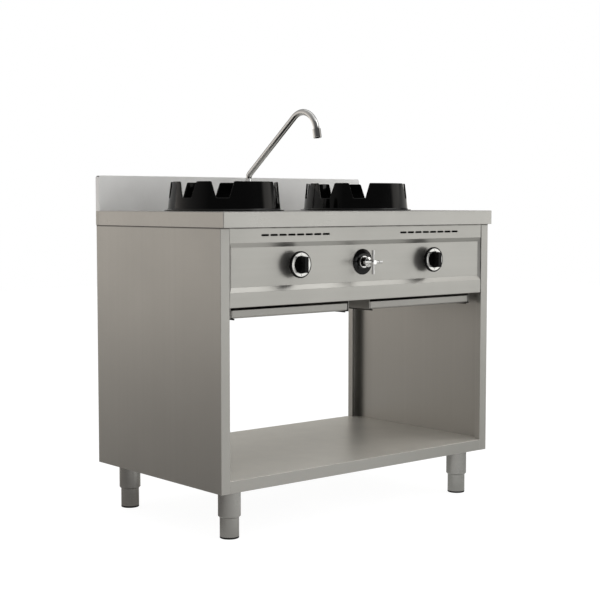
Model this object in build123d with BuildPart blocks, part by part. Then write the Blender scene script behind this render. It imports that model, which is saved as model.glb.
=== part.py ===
from build123d import *
import os
from math import cos, radians, sin

# Two-burner gas wok range on an open cabinet with four adjustable legs: a folded worktop with a
# splashback, two notched cast wok rings over burners, a control panel with two gas knobs and a
# cross-handled water tap, a swivel spout at the back, two drip trays on runners and a low shelf.
# Frame: X to the right, Y to the back, Z up, millimetres. The origin lies on the floor, in the
# middle of the outline that the worktop and the tap handle fill together.

os.makedirs("parts", exist_ok=True)

# ---- Driving dimensions: cabinet and worktop ----
worktop_width = 1000.0
worktop_depth = 600.0
worktop_height = 850.0
worktop_sheet = 1.5
worktop_lip = 40.0            # folded edge below the top face
worktop_return = 30.0         # inward fold at the lip's foot
worktop_edge_radius = 2.0
splashback_rise = 100.0       # above the worktop
splashback_depth = 18.0
splashback_corner_radius = 8.0
splashback_rear_return = 20.0
sheet = 1.2                   # cabinet sheet
seam = 0.3                    # gap between neighbouring formed pieces
cabinet_setback = 14.0        # cabinet front behind the worktop's front edge
side_inset = 1.0              # cabinet side inside the worktop's lip
cabinet_bottom = 130.0
stile_width = 28.0
front_stile_return = 18.0
rear_stile_return = 20.0
panel_bottom_flange = 15.0
shelf_fold = 32.0             # height of the bottom shelf's folded edges
shelf_hem = 15.0
rear_panel_inset = 38.0       # service space behind the rear panel

# ---- Driving dimensions: control panel ----
panel_height = 204.0
panel_top_band = 39.5         # plain band above the recess
panel_bottom_band = 38.0      # plain band below the recess
recess_depth = 6.5
recess_top_bevel = 12.0
recess_bottom_bevel = 13.0
recess_end_bevel = 8.0
recess_end_margin = 1.5
panel_top_flange = 25.0
panel_bottom_return = 45.0
panel_end_flange = 16.0
vent_count = 8
vent_length = 25.5
vent_height = 5.2
vent_pitch = 30.0
vent_drop = 20.5              # below the panel's top edge
control_rise = 105.0          # knob and tap axes above the panel's bottom edge

# ---- Driving dimensions: burners and wok rings ----
burner_side = 250.0           # burner axis from the worktop's side
burner_back = 327.0           # burner axis behind the worktop's front edge
ring_height = 81.0
ring_flange_radius = 168.0
ring_flange_thickness = 3.0
ring_foot_radius = 158.0
ring_top_radius = 150.0
ring_wall = 5.0
ring_foot_fillet = 5.0        # between the wall and the flange
notch_count = 8
notch_top_width = 61.0
notch_bottom_width = 35.0
notch_depth = 45.0
notch_corner_radius = 4.0
tab_corner_radius = 5.0       # upper corners of the tabs
notch_angle = 23.4            # opening of one notch at the ring's top
tab_angle = 17.0              # width of one narrow tab
front_tab_angle = 360.0 - notch_count * notch_angle - (notch_count - 1) * tab_angle
opening_radius = 137.0        # round hole in the worktop under each ring
bowl_rim_radius = 149.0
bowl_rim_thickness = 1.0
bowl_neck_clearance = 0.5
bowl_depth = 50.0
bowl_drain_radius = 72.0
bowl_sheet = 1.0
head_radius = 55.0
head_height = 38.0
head_wall = 7.0
cap_radius = 58.0
cap_thickness = 10.0
cap_spigot = 8.0
cap_port_count = 24
cap_port_width = 3.0
cap_port_height = 3.0
cap_centre_hole = 9.0
mixer_radius = 22.0
mixer_bore = 18.0
mixer_length = 150.0          # from the burner axis forward to the tube's mouth
mixer_drop = 98.0             # tube axis below the worktop's top face
burner_foot_width = 60.0
burner_foot_thickness = 6.0
burner_foot_back = 66.0       # reach of the casting's foot behind the burner axis
burner_foot_front = 130.0     # reach of the foot in front of the burner axis
cross_rail_width = 30.0
cross_rail_height = 25.0
cross_rail_front = 110.0      # front rail's axis in front of the burner axis
cross_rail_back = 48.0        # rear rail's axis behind the burner axis

# ---- Driving dimensions: gas line and knobs ----
manifold_radius = 13.45
manifold_bore = 10.9
manifold_back = 82.0          # manifold axis behind the cabinet's front
manifold_drop = 46.0          # manifold axis below the knob axis
manifold_side = 60.0          # run to the inlet from the worktop's side
manifold_cap_overhang = 50.0  # closed end beyond the left knob's axis
gas_thread_radius = 13.2
gas_thread_length = 20.0
inlet_recess = 8.0            # inlet ends inside the cabinet's rear plane
valve_width = 32.0
valve_height = 40.0
valve_neck_radius = 10.0
valve_neck_length = 12.0
valve_body_length = 74.0
valve_outlet_radius = 9.0
valve_outlet_length = 10.0
saddle_width = 24.0
saddle_depth = 32.0
plug_radius = 9.0
plug_start = 6.0              # plug's front face behind the block's front face
plug_length = 40.0
spindle_radius = 4.0
spindle_flat = 2.6            # distance from the axis to the flat
spindle_engagement = 12.0     # spindle inside the plug
knob_push = 4.0
running_fit = 0.06            # radial play of shafts in bores
plug_hole_radius = 6.0        # spindle hole in the control panel
knob_radius = 35.5
knob_rim = 8.0                # thickness of the knob's disc
knob_hub_radius = 22.0
knob_standoff = 6.0           # hub's back face in front of the recessed face
knob_face = 27.0              # disc's front face in front of the recessed face
knob_edge_radius = 2.0
grip_height = 45.0
grip_width = 17.0
grip_reach = 22.0
grip_radius = 3.0
dial_outer_radius = 31.5
dial_inner_radius = 23.5
dial_thickness = 1.0
supply_radius = 5.0
supply_bore = 3.8
supply_lead = 18.0            # straight end at the valve
supply_bend_radius = 11.0
injector_radius = 8.0
injector_length = 16.0
pilot_radius = 3.0
thermocouple_radius = 2.0
pilot_offset = 64.0           # from the burner axis
pilot_drop = 14.0             # pilot tubes below the knob axis
pilot_top_drop = 7.0          # pilot tips below the worktop's top face
pilot_bend_radius = 20.0
pilot_tip_radius = 4.5
pilot_tip_length = 14.0
pilot_back = 22.0             # port behind the valve block's front face

# ---- Driving dimensions: water tap and spout ----
tap_x = -6.5                  # tap axis beside the middle of the panel
tap_neck_radius = 12.0
tap_neck_clearance = 0.15
tap_body_radius = 17.0
tap_body_length = 38.0
tap_body_back = 12.0          # body's front face behind the recessed face
tap_port_radius = 10.5
tap_port_length = 24.0        # from the tap's axis
flange_radius = 35.5
flange_thickness = 5.0
flange_dome = 3.5
collar_radius = 16.8
collar_thickness = 4.0
bonnet_radius = 9.0           # tap body's nose between the collar and the handle
handle_gap = 0.6
handle_standoff = 23.0        # bell's back rim in front of the recessed face
handle_reach = 51.0           # hub's front face in front of the recessed face
bell_radius = 14.3
handle_neck_radius = 5.5
handle_neck_length = 1.0      # between the bell and the hub
hub_radius = 8.0
hub_length = 16.0
arm_radius = 3.1
arm_span = 66.0
arm_tip_radius = 4.1
arm_tip_length = 12.0
arm_count = 4
tap_spindle_depth = 22.0      # spindle's reach into the tap body
tap_spindle_head = 20.0       # spindle's reach into the handle
water_pipe_radius = 7.5
water_pipe_bore = 6.5
water_bend_radius = 26.0
water_low_run = 72.0          # inlet pipe's run below the tap's axis
water_high_run = 80.0         # pipe to the spout, above the tap's axis
water_thread_radius = 10.45
water_thread_length = 18.0
spout_gap = 47.0              # spout axis in front of the splashback
spout_flange_radius = 25.0
spout_flange_thickness = 6.0
spout_base_radius = 14.0
spout_base_height = 62.0
spout_nut_radius = 17.0
spout_nut_height = 18.0
spout_shank_radius = 12.0
spout_shank_length = 35.0
spout_locknut_radius = 18.0
spout_locknut_height = 8.0
spout_socket = 42.0           # depth of the spout's socket in its base
spout_radius = 9.0
spout_bore = 7.8
spout_knee_height = 105.7     # knee above the worktop
spout_knee_radius = 20.0
spout_rise_angle = 37.5
spout_straight = 270.6        # knee point to the start of the crook
spout_crook_radius = 62.0
spout_crook_sweep = 117.0
aerator_radius = 12.0
aerator_length = 25.0
aerator_overlap = 8.0
aerator_mouth_radius = 8.5
aerator_mouth_depth = 10.0

# ---- Driving dimensions: drip trays and legs ----
tray_length = 510.0
tray_height = 20.8
tray_sheet = 1.0
tray_corner_radius = 5.0
tray_setback = 27.0           # tray's face behind the cabinet's front
tray_top_gap = 9.2            # rim below the control panel's bottom edge
tray_centre_gap = 82.0        # between the two trays
tray_side_gap = 24.7          # between a tray and the stile beside it
runner_play = 1.0
runner_lip = 12.0
runner_hem = 4.0              # fold that hangs from the lip's inner edge
runner_flange = 18.0
sleeve_radius = 30.0
sleeve_bottom = 55.0
sleeve_chamfer = 4.0
foot_radius = 25.5
foot_clearance = 0.3
foot_wall = 2.5
foot_top = 122.0
foot_pad_height = 5.0
leg_plate_width = 100.0
leg_plate_depth = 72.0
leg_plate_thickness = 3.0
leg_side = 69.0               # leg axis from the worktop's side
leg_front = 71.0              # leg axis from the worktop's front edge
leg_back = 57.0               # leg axis from the worktop's rear edge
leg_bolt_spacing_x = 78.0
leg_bolt_spacing_y = 54.0
leg_bolt_head_radius = 6.5
leg_bolt_head = 5.0

# ---- Derived places ----
front_overhang = handle_reach - recess_depth - cabinet_setback
front_y = front_overhang - (worktop_depth + front_overhang) / 2
rear_y = front_y + worktop_depth
half_width = worktop_width / 2
lip_bottom = worktop_height - worktop_lip
splash_front_y = rear_y - splashback_depth
splash_top = worktop_height + splashback_rise
cabinet_front_y = front_y + cabinet_setback
side_x = half_width - side_inset
stile_x = side_x - stile_width
panel_half = stile_x - seam
panel_bottom = lip_bottom - panel_height
recess_top = lip_bottom - panel_top_band
recess_bottom = panel_bottom + panel_bottom_band
recess_half = panel_half - recess_end_margin
face_y = cabinet_front_y + recess_depth
face_back_y = face_y + sheet
spout_y = splash_front_y - spout_gap
control_z = panel_bottom + control_rise
shelf_top = cabinet_bottom + shelf_fold
rear_panel_y = rear_y - rear_panel_inset
tray_width = panel_half - tray_side_gap - tray_centre_gap / 2
burner_y = front_y + burner_back
burner_x = half_width - burner_side
mixer_z = worktop_height - mixer_drop
mixer_mouth_y = burner_y - mixer_length
bowl_bottom = worktop_height - bowl_depth
head_bottom = bowl_bottom
head_top = head_bottom + head_height
foot_plate_top = mixer_z - mixer_bore - 1.0
foot_plate_bottom = foot_plate_top - burner_foot_thickness
inlet_end_y = rear_y - inlet_recess
sides = {"left": -1, "right": 1}


def box_between(x0, x1, y0, y1, z0, z1, mode=Mode.ADD):
    """Adds or cuts a plain block given by its faces in the current part."""
    with Locations(((x0 + x1) / 2, (y0 + y1) / 2, (z0 + z1) / 2)):
        Box(abs(x1 - x0), abs(y1 - y0), abs(z1 - z0), mode=mode)


def plane_at_y(y, x=0.0, z=0.0):
    """A sketch plane facing the front, whose extrusions run backwards with positive amounts."""
    return Plane(origin=(x, y, z), x_dir=(1, 0, 0), z_dir=(0, 1, 0))


def save(builder, label):
    """Names a finished piece and writes it to its own file."""
    builder.part.label = label
    export_step(builder.part, f"parts/{label}.step")


# ---- Worktop: a folded sheet, open below, with a round hole under each wok ring ----
with BuildPart() as worktop:
    box_between(-half_width, half_width, front_y, splash_front_y, lip_bottom, worktop_height)
    fillet(worktop.edges().filter_by(Axis.Z).group_by(Axis.Y)[0], worktop_edge_radius)
    top_rim = worktop.faces().sort_by(Axis.Z)[-1].edges().sort_by(Axis.Y)[:-1]
    fillet(top_rim, worktop_edge_radius - 0.5)
    inner_half = half_width - worktop_sheet
    box_between(-inner_half, inner_half, front_y + worktop_sheet, splash_front_y - worktop_sheet,
                lip_bottom + worktop_sheet, worktop_height - worktop_sheet, Mode.SUBTRACT)
    return_half = half_width - worktop_return
    box_between(-return_half, return_half, front_y + worktop_return,
                splash_front_y - worktop_return, lip_bottom, lip_bottom + worktop_sheet,
                Mode.SUBTRACT)
    with BuildSketch(Plane.XY.offset(worktop_height - worktop_sheet)):
        with Locations((-burner_x, burner_y), (burner_x, burner_y)):
            Circle(opening_radius)
        with Locations((0, spout_y)):
            Circle(spout_shank_radius + seam)
    extrude(amount=worktop_sheet, mode=Mode.SUBTRACT)
save(worktop, "worktop")

# ---- Splashback: a folded upstand whose ends run down beside the worktop's lip ----
with BuildPart() as splashback:
    box_between(-half_width, half_width, splash_front_y, rear_y, lip_bottom, splash_top)
    corner_edges = splashback.edges().filter_by(Axis.Y).group_by(Axis.Z)[-1]
    fillet(corner_edges, splashback_corner_radius)
    with BuildSketch(plane_at_y(splash_front_y + sheet)):
        with Locations((0, -(lip_bottom + splash_top - sheet) / 2)):
            Rectangle(worktop_width - 2 * sheet, splash_top - sheet - lip_bottom)
    extrude(amount=splashback_depth - 2 * sheet, mode=Mode.SUBTRACT)
    box_between(-half_width + sheet, half_width - sheet, rear_y - sheet, rear_y, lip_bottom,
                splash_top - splashback_rear_return, Mode.SUBTRACT)
save(splashback, "splashback")

# ---- Side panels: one sheet each, folded into stiles at the front and the rear ----
for name, side in sides.items():
    with BuildPart() as side_panel:
        box_between(side * (side_x - sheet), side * side_x, cabinet_front_y, rear_y,
                    cabinet_bottom, lip_bottom)
        box_between(side * stile_x, side * side_x, cabinet_front_y, cabinet_front_y + sheet,
                    cabinet_bottom, lip_bottom)
        box_between(side * stile_x, side * (stile_x + sheet), cabinet_front_y,
                    cabinet_front_y + front_stile_return, cabinet_bottom, lip_bottom)
        box_between(side * stile_x, side * side_x, rear_y - sheet, rear_y,
                    cabinet_bottom, lip_bottom)
        box_between(side * stile_x, side * (stile_x + sheet), rear_y - rear_stile_return,
                    rear_y, cabinet_bottom, lip_bottom)
        box_between(side * stile_x, side * side_x, cabinet_front_y, rear_y,
                    lip_bottom - sheet, lip_bottom)
        box_between(side * (side_x - panel_bottom_flange), side * side_x, cabinet_front_y,
                    rear_y, cabinet_bottom, cabinet_bottom + sheet)
        outer_corners = side_panel.edges().filter_by(Axis.Z).group_by(Axis.X)
        fillet(outer_corners[0 if side < 0 else -1], sheet)
    save(side_panel, f"{name}_side_panel")

# ---- Bottom shelf: a tray turned over, notched round the stiles ----
with BuildPart() as bottom_shelf:
    shelf_side = side_x - sheet - seam
    shelf_front_y = cabinet_front_y + front_stile_return + seam
    shelf_rear_y = rear_y - rear_stile_return - seam
    box_between(-shelf_side, shelf_side, shelf_front_y, shelf_rear_y, shelf_top - sheet, shelf_top)
    box_between(-panel_half, panel_half, cabinet_front_y, rear_y, shelf_top - sheet, shelf_top)
    for fold_y in (cabinet_front_y, rear_y - sheet):
        box_between(-panel_half, panel_half, fold_y, fold_y + sheet, cabinet_bottom, shelf_top)
    box_between(-panel_half, panel_half, cabinet_front_y, cabinet_front_y + shelf_hem,
                cabinet_bottom, cabinet_bottom + sheet)
    box_between(-panel_half, panel_half, rear_y - shelf_hem, rear_y,
                cabinet_bottom, cabinet_bottom + sheet)
    for side in sides.values():
        box_between(side * (shelf_side - sheet), side * shelf_side, shelf_front_y, shelf_rear_y,
                    cabinet_bottom + 2 * sheet, shelf_top)
    front_folds = bottom_shelf.edges().filter_by(Axis.X).group_by(Axis.Y)[0]
    fillet(front_folds, sheet)
save(bottom_shelf, "bottom_shelf")


def recess_rectangle(depth, growth):
    """The recess outline at a depth behind the panel's front, grown for the sheet's far side."""
    share = depth / recess_depth
    top = recess_top - share * recess_top_bevel + growth
    bottom = recess_bottom + share * recess_bottom_bevel - growth
    half = recess_half - share * recess_end_bevel + growth
    with BuildSketch(plane_at_y(cabinet_front_y + depth)) as outline:
        with Locations((0, -(top + bottom) / 2)):
            Rectangle(2 * half, top - bottom)
    return outline.sketch


# ---- Control panel: a pressed panel with a bevelled recess, vents and control holes ----
with BuildPart() as control_panel:
    box_between(-panel_half, panel_half, cabinet_front_y, cabinet_front_y + sheet,
                panel_bottom, lip_bottom)
    box_between(-panel_half, panel_half, cabinet_front_y, cabinet_front_y + panel_top_flange,
                lip_bottom - sheet, lip_bottom)
    box_between(-panel_half, panel_half, cabinet_front_y, cabinet_front_y + panel_bottom_return,
                panel_bottom, panel_bottom + sheet)
    for side in sides.values():
        box_between(side * (panel_half - sheet), side * panel_half, cabinet_front_y,
                    cabinet_front_y + panel_end_flange, panel_bottom, lip_bottom)
    front_folds = control_panel.edges().filter_by(Axis.X).group_by(Axis.Y)[0]
    fillet(front_folds, sheet)
    back_outline = recess_rectangle(recess_depth, sheet).moved(Location((0, sheet, 0)))
    loft([recess_rectangle(0, sheet), back_outline])
    loft([recess_rectangle(0, 0), recess_rectangle(recess_depth, 0)], mode=Mode.SUBTRACT)
    with BuildSketch(plane_at_y(cabinet_front_y)):
        with Locations((-burner_x, vent_drop - lip_bottom), (burner_x, vent_drop - lip_bottom)):
            with GridLocations(vent_pitch, vent_pitch, vent_count, 1):
                SlotOverall(vent_length, vent_height)
    extrude(amount=sheet, mode=Mode.SUBTRACT)
    with BuildSketch(plane_at_y(face_y)):
        with Locations((-burner_x, -control_z), (burner_x, -control_z)):
            Circle(plug_hole_radius)
        with Locations((tap_x, -control_z)):
            Circle(tap_neck_radius + tap_neck_clearance)
    extrude(amount=sheet, mode=Mode.SUBTRACT)
save(control_panel, "control_panel")

# ---- Rear panel: closes the burner space, with holes for the gas and the water inlet ----
manifold_x = half_width - manifold_side
manifold_z = control_z - manifold_drop
water_low_z = control_z - water_low_run
with BuildPart() as rear_panel:
    rear_half = side_x - sheet
    box_between(-rear_half, rear_half, rear_panel_y, rear_panel_y + sheet,
                panel_bottom, lip_bottom - sheet)
    box_between(-panel_half, panel_half, rear_panel_y, rear_panel_y + sheet,
                panel_bottom, lip_bottom)
    box_between(-panel_half, panel_half, rear_panel_y - worktop_return / 2, rear_panel_y,
                lip_bottom - sheet, lip_bottom)
    box_between(-rear_half, rear_half, rear_panel_y - panel_top_flange, rear_panel_y,
                panel_bottom, panel_bottom + sheet)
    with BuildSketch(plane_at_y(rear_panel_y)):
        with Locations((manifold_x, -manifold_z)):
            Circle(manifold_radius + seam)
        with Locations((tap_x, -water_low_z)):
            Circle(water_pipe_radius + seam)
    extrude(amount=sheet, mode=Mode.SUBTRACT)
    with Locations((-burner_x, rear_panel_y, (panel_bottom + lip_bottom) / 2),
                   (burner_x, rear_panel_y, (panel_bottom + lip_bottom) / 2)):
        with GridLocations(vent_pitch, vent_pitch, vent_count, 1):
            Box(vent_length, 4 * sheet, 2 * vent_height, mode=Mode.SUBTRACT)
save(rear_panel, "rear_panel")

# ---- Cross rails: channels between the side panels that carry both burners ----
rail_half = side_x - sheet
for name, rail_y in (("front", burner_y - cross_rail_front), ("rear", burner_y + cross_rail_back)):
    with BuildPart() as cross_rail:
        box_between(-rail_half, rail_half, rail_y - cross_rail_width / 2,
                    rail_y + cross_rail_width / 2, foot_plate_bottom - cross_rail_height,
                    foot_plate_bottom)
        box_between(-rail_half, rail_half, rail_y - cross_rail_width / 2 + 2 * sheet,
                    rail_y + cross_rail_width / 2 - 2 * sheet,
                    foot_plate_bottom - cross_rail_height, foot_plate_bottom - 2 * sheet,
                    Mode.SUBTRACT)
    save(cross_rail, f"{name}_cross_rail")

# ---- Tray runners: Z-folded strips under the panel's return and the rear panel's foot ----
tray_front_y = cabinet_front_y + tray_setback
tray_rim_z = panel_bottom - tray_top_gap
tray_floor_z = tray_rim_z - tray_height
runner_lip_z = tray_floor_z - seam
tray_x = (tray_centre_gap + tray_width) / 2
runner_x = tray_width / 2 + runner_play
for name, side in sides.items():
    with BuildPart() as tray_runners:
        for direction in (-1, 1):
            web_x = side * tray_x + direction * runner_x
            box_between(web_x, web_x + direction * sheet, tray_front_y, rear_panel_y,
                        runner_lip_z - sheet, panel_bottom)
            box_between(web_x - direction * runner_lip, web_x, tray_front_y, rear_panel_y,
                        runner_lip_z - sheet, runner_lip_z)
            box_between(web_x - direction * runner_lip, web_x - direction * (runner_lip - sheet),
                        tray_front_y, rear_panel_y, runner_lip_z - runner_hem, runner_lip_z)
            box_between(web_x, web_x + direction * runner_flange, tray_front_y, rear_panel_y,
                        panel_bottom - sheet, panel_bottom)
    save(tray_runners, f"{name}_tray_runners")

# ---- Drip trays: pressed trays that slide out to the front ----
for name, side in sides.items():
    with BuildPart() as drip_tray:
        box_between(side * tray_x - tray_width / 2, side * tray_x + tray_width / 2, tray_front_y,
                    tray_front_y + tray_length, tray_floor_z, tray_rim_z)
        fillet(drip_tray.edges().filter_by(Axis.Z), tray_corner_radius)
        fillet(drip_tray.faces().sort_by(Axis.Z)[0].edges(), tray_corner_radius)
        offset(amount=-tray_sheet, openings=drip_tray.faces().sort_by(Axis.Z)[-1])
    save(drip_tray, f"{name}_drip_tray")

# ---- Legs: sleeves with a plate bolted under the shelf, and feet that screw out of them ----
leg_x = half_width - leg_side
leg_places = {
    "front_left": (-leg_x, front_y + leg_front),
    "front_right": (leg_x, front_y + leg_front),
    "rear_left": (-leg_x, rear_y - leg_back),
    "rear_right": (leg_x, rear_y - leg_back),
}
leg_plate_top = shelf_top - sheet
leg_plate_bottom = leg_plate_top - leg_plate_thickness
sleeve_bore = foot_radius + foot_clearance
with BuildPart() as leg_bolts:
    for x, y in leg_places.values():
        with BuildSketch(Plane.XY.offset(leg_plate_bottom)):
            with Locations((x, y)):
                with GridLocations(leg_bolt_spacing_x, leg_bolt_spacing_y, 2, 2):
                    RegularPolygon(leg_bolt_head_radius, 6)
        extrude(amount=-leg_bolt_head)
save(leg_bolts, "leg_bolts")

for place, (x, y) in leg_places.items():
    with BuildPart() as leg_sleeve:
        with BuildSketch(Plane.XY.offset(sleeve_bottom)):
            with Locations((x, y)):
                Circle(sleeve_radius)
        extrude(amount=leg_plate_bottom - sleeve_bottom)
        chamfer(leg_sleeve.faces().sort_by(Axis.Z)[0].edges(), sleeve_chamfer)
        with BuildSketch(Plane.XY.offset(sleeve_bottom)):
            with Locations((x, y)):
                Circle(sleeve_bore)
        extrude(amount=leg_plate_bottom - sleeve_bottom, mode=Mode.SUBTRACT)
        box_between(x - leg_plate_width / 2, x + leg_plate_width / 2, y - leg_plate_depth / 2,
                    y + leg_plate_depth / 2, leg_plate_bottom, leg_plate_top)
    save(leg_sleeve, f"{place}_leg_sleeve")

    with BuildPart() as foot:
        with BuildSketch(Plane.XY.offset(foot_pad_height)):
            with Locations((x, y)):
                Circle(foot_radius)
        extrude(amount=foot_top - foot_pad_height)
        with BuildSketch(Plane.XY.offset(foot_pad_height + foot_wall)):
            with Locations((x, y)):
                Circle(foot_radius - foot_wall)
        extrude(amount=foot_top - foot_pad_height - foot_wall, mode=Mode.SUBTRACT)
    save(foot, f"{place}_foot")

    with BuildPart() as foot_pad:
        with BuildSketch(Plane.XY):
            with Locations((x, y)):
                Circle(foot_radius)
        extrude(amount=foot_pad_height)
        fillet(foot_pad.faces().sort_by(Axis.Z)[0].edges(), 1.5)
    save(foot_pad, f"{place}_foot_pad")

# ---- Wok rings: cast rings with a wide closed tab at the front and eight notches ----
for name, side in sides.items():
    with BuildPart() as wok_ring:
        with BuildSketch(Plane(origin=(side * burner_x, burner_y, worktop_height),
                               x_dir=(1, 0, 0), z_dir=(0, -1, 0))):
            with BuildLine():
                Polyline((ring_foot_radius - ring_wall, 0), (ring_flange_radius, 0),
                         (ring_flange_radius, ring_flange_thickness),
                         (ring_foot_radius, ring_flange_thickness),
                         (ring_top_radius, ring_height), (ring_top_radius - ring_wall, ring_height),
                         close=True)
            make_face()
        revolve(axis=Axis((side * burner_x, burner_y, 0), (0, 0, 1)))
        ring_circles = wok_ring.edges().filter_by(GeomType.CIRCLE)
        flange_circles = ring_circles.group_by(Axis.Z)[1]
        fillet(flange_circles.sort_by(SortBy.RADIUS)[0], ring_foot_fillet)
        notch_spread = (notch_top_width - notch_bottom_width) / notch_depth
        notch_mouth = notch_top_width + notch_spread * ring_wall
        for index in range(notch_count):
            angle = 270 + front_tab_angle / 2 + notch_angle / 2 + index * (notch_angle + tab_angle)
            outward = (cos(radians(angle)), sin(radians(angle)), 0)
            sideways = (-sin(radians(angle)), cos(radians(angle)), 0)
            with BuildSketch(Plane(origin=(side * burner_x, burner_y, worktop_height + ring_height),
                                   x_dir=sideways, z_dir=outward)) as notch:
                with BuildLine():
                    Polyline((-notch_mouth / 2, ring_wall), (-notch_bottom_width / 2, -notch_depth),
                             (notch_bottom_width / 2, -notch_depth), (notch_mouth / 2, ring_wall),
                             close=True)
                make_face()
                fillet(notch.vertices().group_by(Axis.Z)[0], notch_corner_radius)
            extrude(amount=ring_flange_radius + ring_wall, mode=Mode.SUBTRACT)
        tab_corners = wok_ring.edges().filter_by(GeomType.LINE).group_by(Axis.Z)[-1]
        fillet(tab_corners, tab_corner_radius)
        tab_rims = wok_ring.edges().filter_by(GeomType.CIRCLE).group_by(Axis.Z)[-1]
        fillet(tab_rims, ring_wall * 0.25)
    save(wok_ring, f"{name}_wok_ring")

# ---- Burner bowls: funnels that hang in the worktop and let spills fall into the trays ----
for name, side in sides.items():
    with BuildPart() as bowl:
        with BuildSketch(Plane(origin=(side * burner_x, burner_y, worktop_height),
                               x_dir=(1, 0, 0), z_dir=(0, -1, 0))):
            neck = opening_radius - bowl_neck_clearance
            with BuildLine():
                Polyline((neck - bowl_sheet, bowl_rim_thickness), (bowl_rim_radius, bowl_rim_thickness),
                         (bowl_rim_radius, 0), (neck, 0), (neck, -worktop_sheet - seam),
                         (bowl_drain_radius + bowl_sheet, -bowl_depth),
                         (bowl_drain_radius, -bowl_depth),
                         (neck - bowl_sheet, -worktop_sheet - seam), close=True)
            make_face()
        revolve(axis=Axis((side * burner_x, burner_y, 0), (0, 0, 1)))
    save(bowl, f"{name}_burner_bowl")

# ---- Burner castings: head, neck, mixing tube and a foot that lies on the cross rails ----
for name, side in sides.items():
    axis_x = side * burner_x
    with BuildPart() as burner:
        with BuildSketch(Plane(origin=(axis_x, burner_y, 0), x_dir=(1, 0, 0), z_dir=(0, -1, 0))):
            with BuildLine():
                Polyline((0, mixer_z - mixer_radius), (mixer_radius, mixer_z - mixer_radius),
                         (mixer_radius, head_bottom), (head_radius, head_bottom + head_wall),
                         (head_radius, head_top), (0, head_top), close=True)
            make_face()
        revolve(axis=Axis((axis_x, burner_y, 0), (0, 0, 1)))
        with BuildSketch(plane_at_y(mixer_mouth_y)):
            with Locations((axis_x, -mixer_z)):
                Circle(mixer_radius)
        extrude(amount=mixer_length)
        box_between(axis_x - burner_foot_width / 2, axis_x + burner_foot_width / 2,
                    burner_y - burner_foot_front, burner_y + burner_foot_back,
                    foot_plate_bottom, foot_plate_top)
        with BuildSketch(Plane(origin=(axis_x, burner_y, 0), x_dir=(1, 0, 0), z_dir=(0, -1, 0))):
            with BuildLine():
                Polyline((0, mixer_z), (mixer_bore, mixer_z), (mixer_bore, head_bottom + head_wall),
                         (head_radius - head_wall, head_bottom + 2 * head_wall),
                         (head_radius - head_wall, head_top), (0, head_top), close=True)
            make_face()
        revolve(axis=Axis((axis_x, burner_y, 0), (0, 0, 1)), mode=Mode.SUBTRACT)
        with BuildSketch(plane_at_y(mixer_mouth_y)):
            with Locations((axis_x, -mixer_z)):
                Circle(mixer_bore)
        extrude(amount=mixer_length, mode=Mode.SUBTRACT)
    save(burner, f"{name}_burner")

    with BuildPart() as cap:
        spigot_radius = head_radius - head_wall - seam
        with BuildSketch(Plane(origin=(axis_x, burner_y, head_top), x_dir=(1, 0, 0),
                               z_dir=(0, -1, 0))):
            with BuildLine():
                Polyline((cap_centre_hole, cap_thickness * 0.6), (cap_centre_hole, cap_thickness),
                         (cap_radius * 0.55, cap_thickness), (cap_radius, cap_thickness * 0.5),
                         (cap_radius, 0), (spigot_radius, 0), (spigot_radius, -cap_spigot),
                         (spigot_radius - head_wall / 2, -cap_spigot),
                         (spigot_radius - head_wall / 2, cap_thickness * 0.4), close=True)
            make_face()
        revolve(axis=Axis((axis_x, burner_y, 0), (0, 0, 1)))
        with Locations((axis_x, burner_y, head_top + cap_port_height / 2)):
            with PolarLocations((cap_radius + spigot_radius - head_wall) / 2, cap_port_count):
                Box(cap_radius - spigot_radius + 2 * head_wall, cap_port_width, cap_port_height,
                    mode=Mode.SUBTRACT)
    save(cap, f"{name}_burner_cap")

# ---- Gas manifold: a pipe behind the panel, with a run to the threaded inlet at the rear ----
manifold_y = cabinet_front_y + manifold_back
manifold_start_x = -burner_x - manifold_cap_overhang
with BuildPart() as gas_manifold:
    with BuildLine() as manifold_route:
        FilletPolyline((manifold_start_x, manifold_y, manifold_z),
                       (manifold_x, manifold_y, manifold_z),
                       (manifold_x, inlet_end_y - gas_thread_length, manifold_z),
                       radius=2.2 * manifold_radius)
    manifold_end = Plane(origin=(manifold_start_x, manifold_y, manifold_z), z_dir=(1, 0, 0))
    with BuildSketch(manifold_end):
        Circle(manifold_radius)
    sweep(path=manifold_route.line)
    with BuildSketch(manifold_end):
        Circle(manifold_bore)
    sweep(path=manifold_route.line, mode=Mode.SUBTRACT)
    with BuildSketch(plane_at_y(inlet_end_y - gas_thread_length)):
        with Locations((manifold_x, -manifold_z)):
            Circle(gas_thread_radius)
            Circle(manifold_bore, mode=Mode.SUBTRACT)
    extrude(amount=gas_thread_length)
    with BuildSketch(manifold_end):
        Circle(manifold_radius)
    extrude(amount=-sheet)
save(gas_manifold, "gas_manifold")


def d_profile(radius, flat):
    """A round shaft with one flat on its upper side, drawn at the sketch's own origin."""
    with BuildSketch(Plane.XY) as shaft:
        Circle(radius)
        with Locations((0, -flat - radius)):
            Rectangle(2 * radius, 2 * radius, mode=Mode.SUBTRACT)
    return shaft.sketch


block_front_y = face_back_y + valve_neck_length
block_back_y = block_front_y + valve_body_length
plug_front_y = block_front_y + plug_start
knob_back_y = face_y - knob_standoff
knob_front_y = face_y - knob_face
spindle_front_y = knob_front_y - grip_reach / 2
spindle_back_y = plug_front_y + spindle_engagement
pilot_y = block_front_y + pilot_back
pilot_z = control_z - pilot_drop

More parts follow.
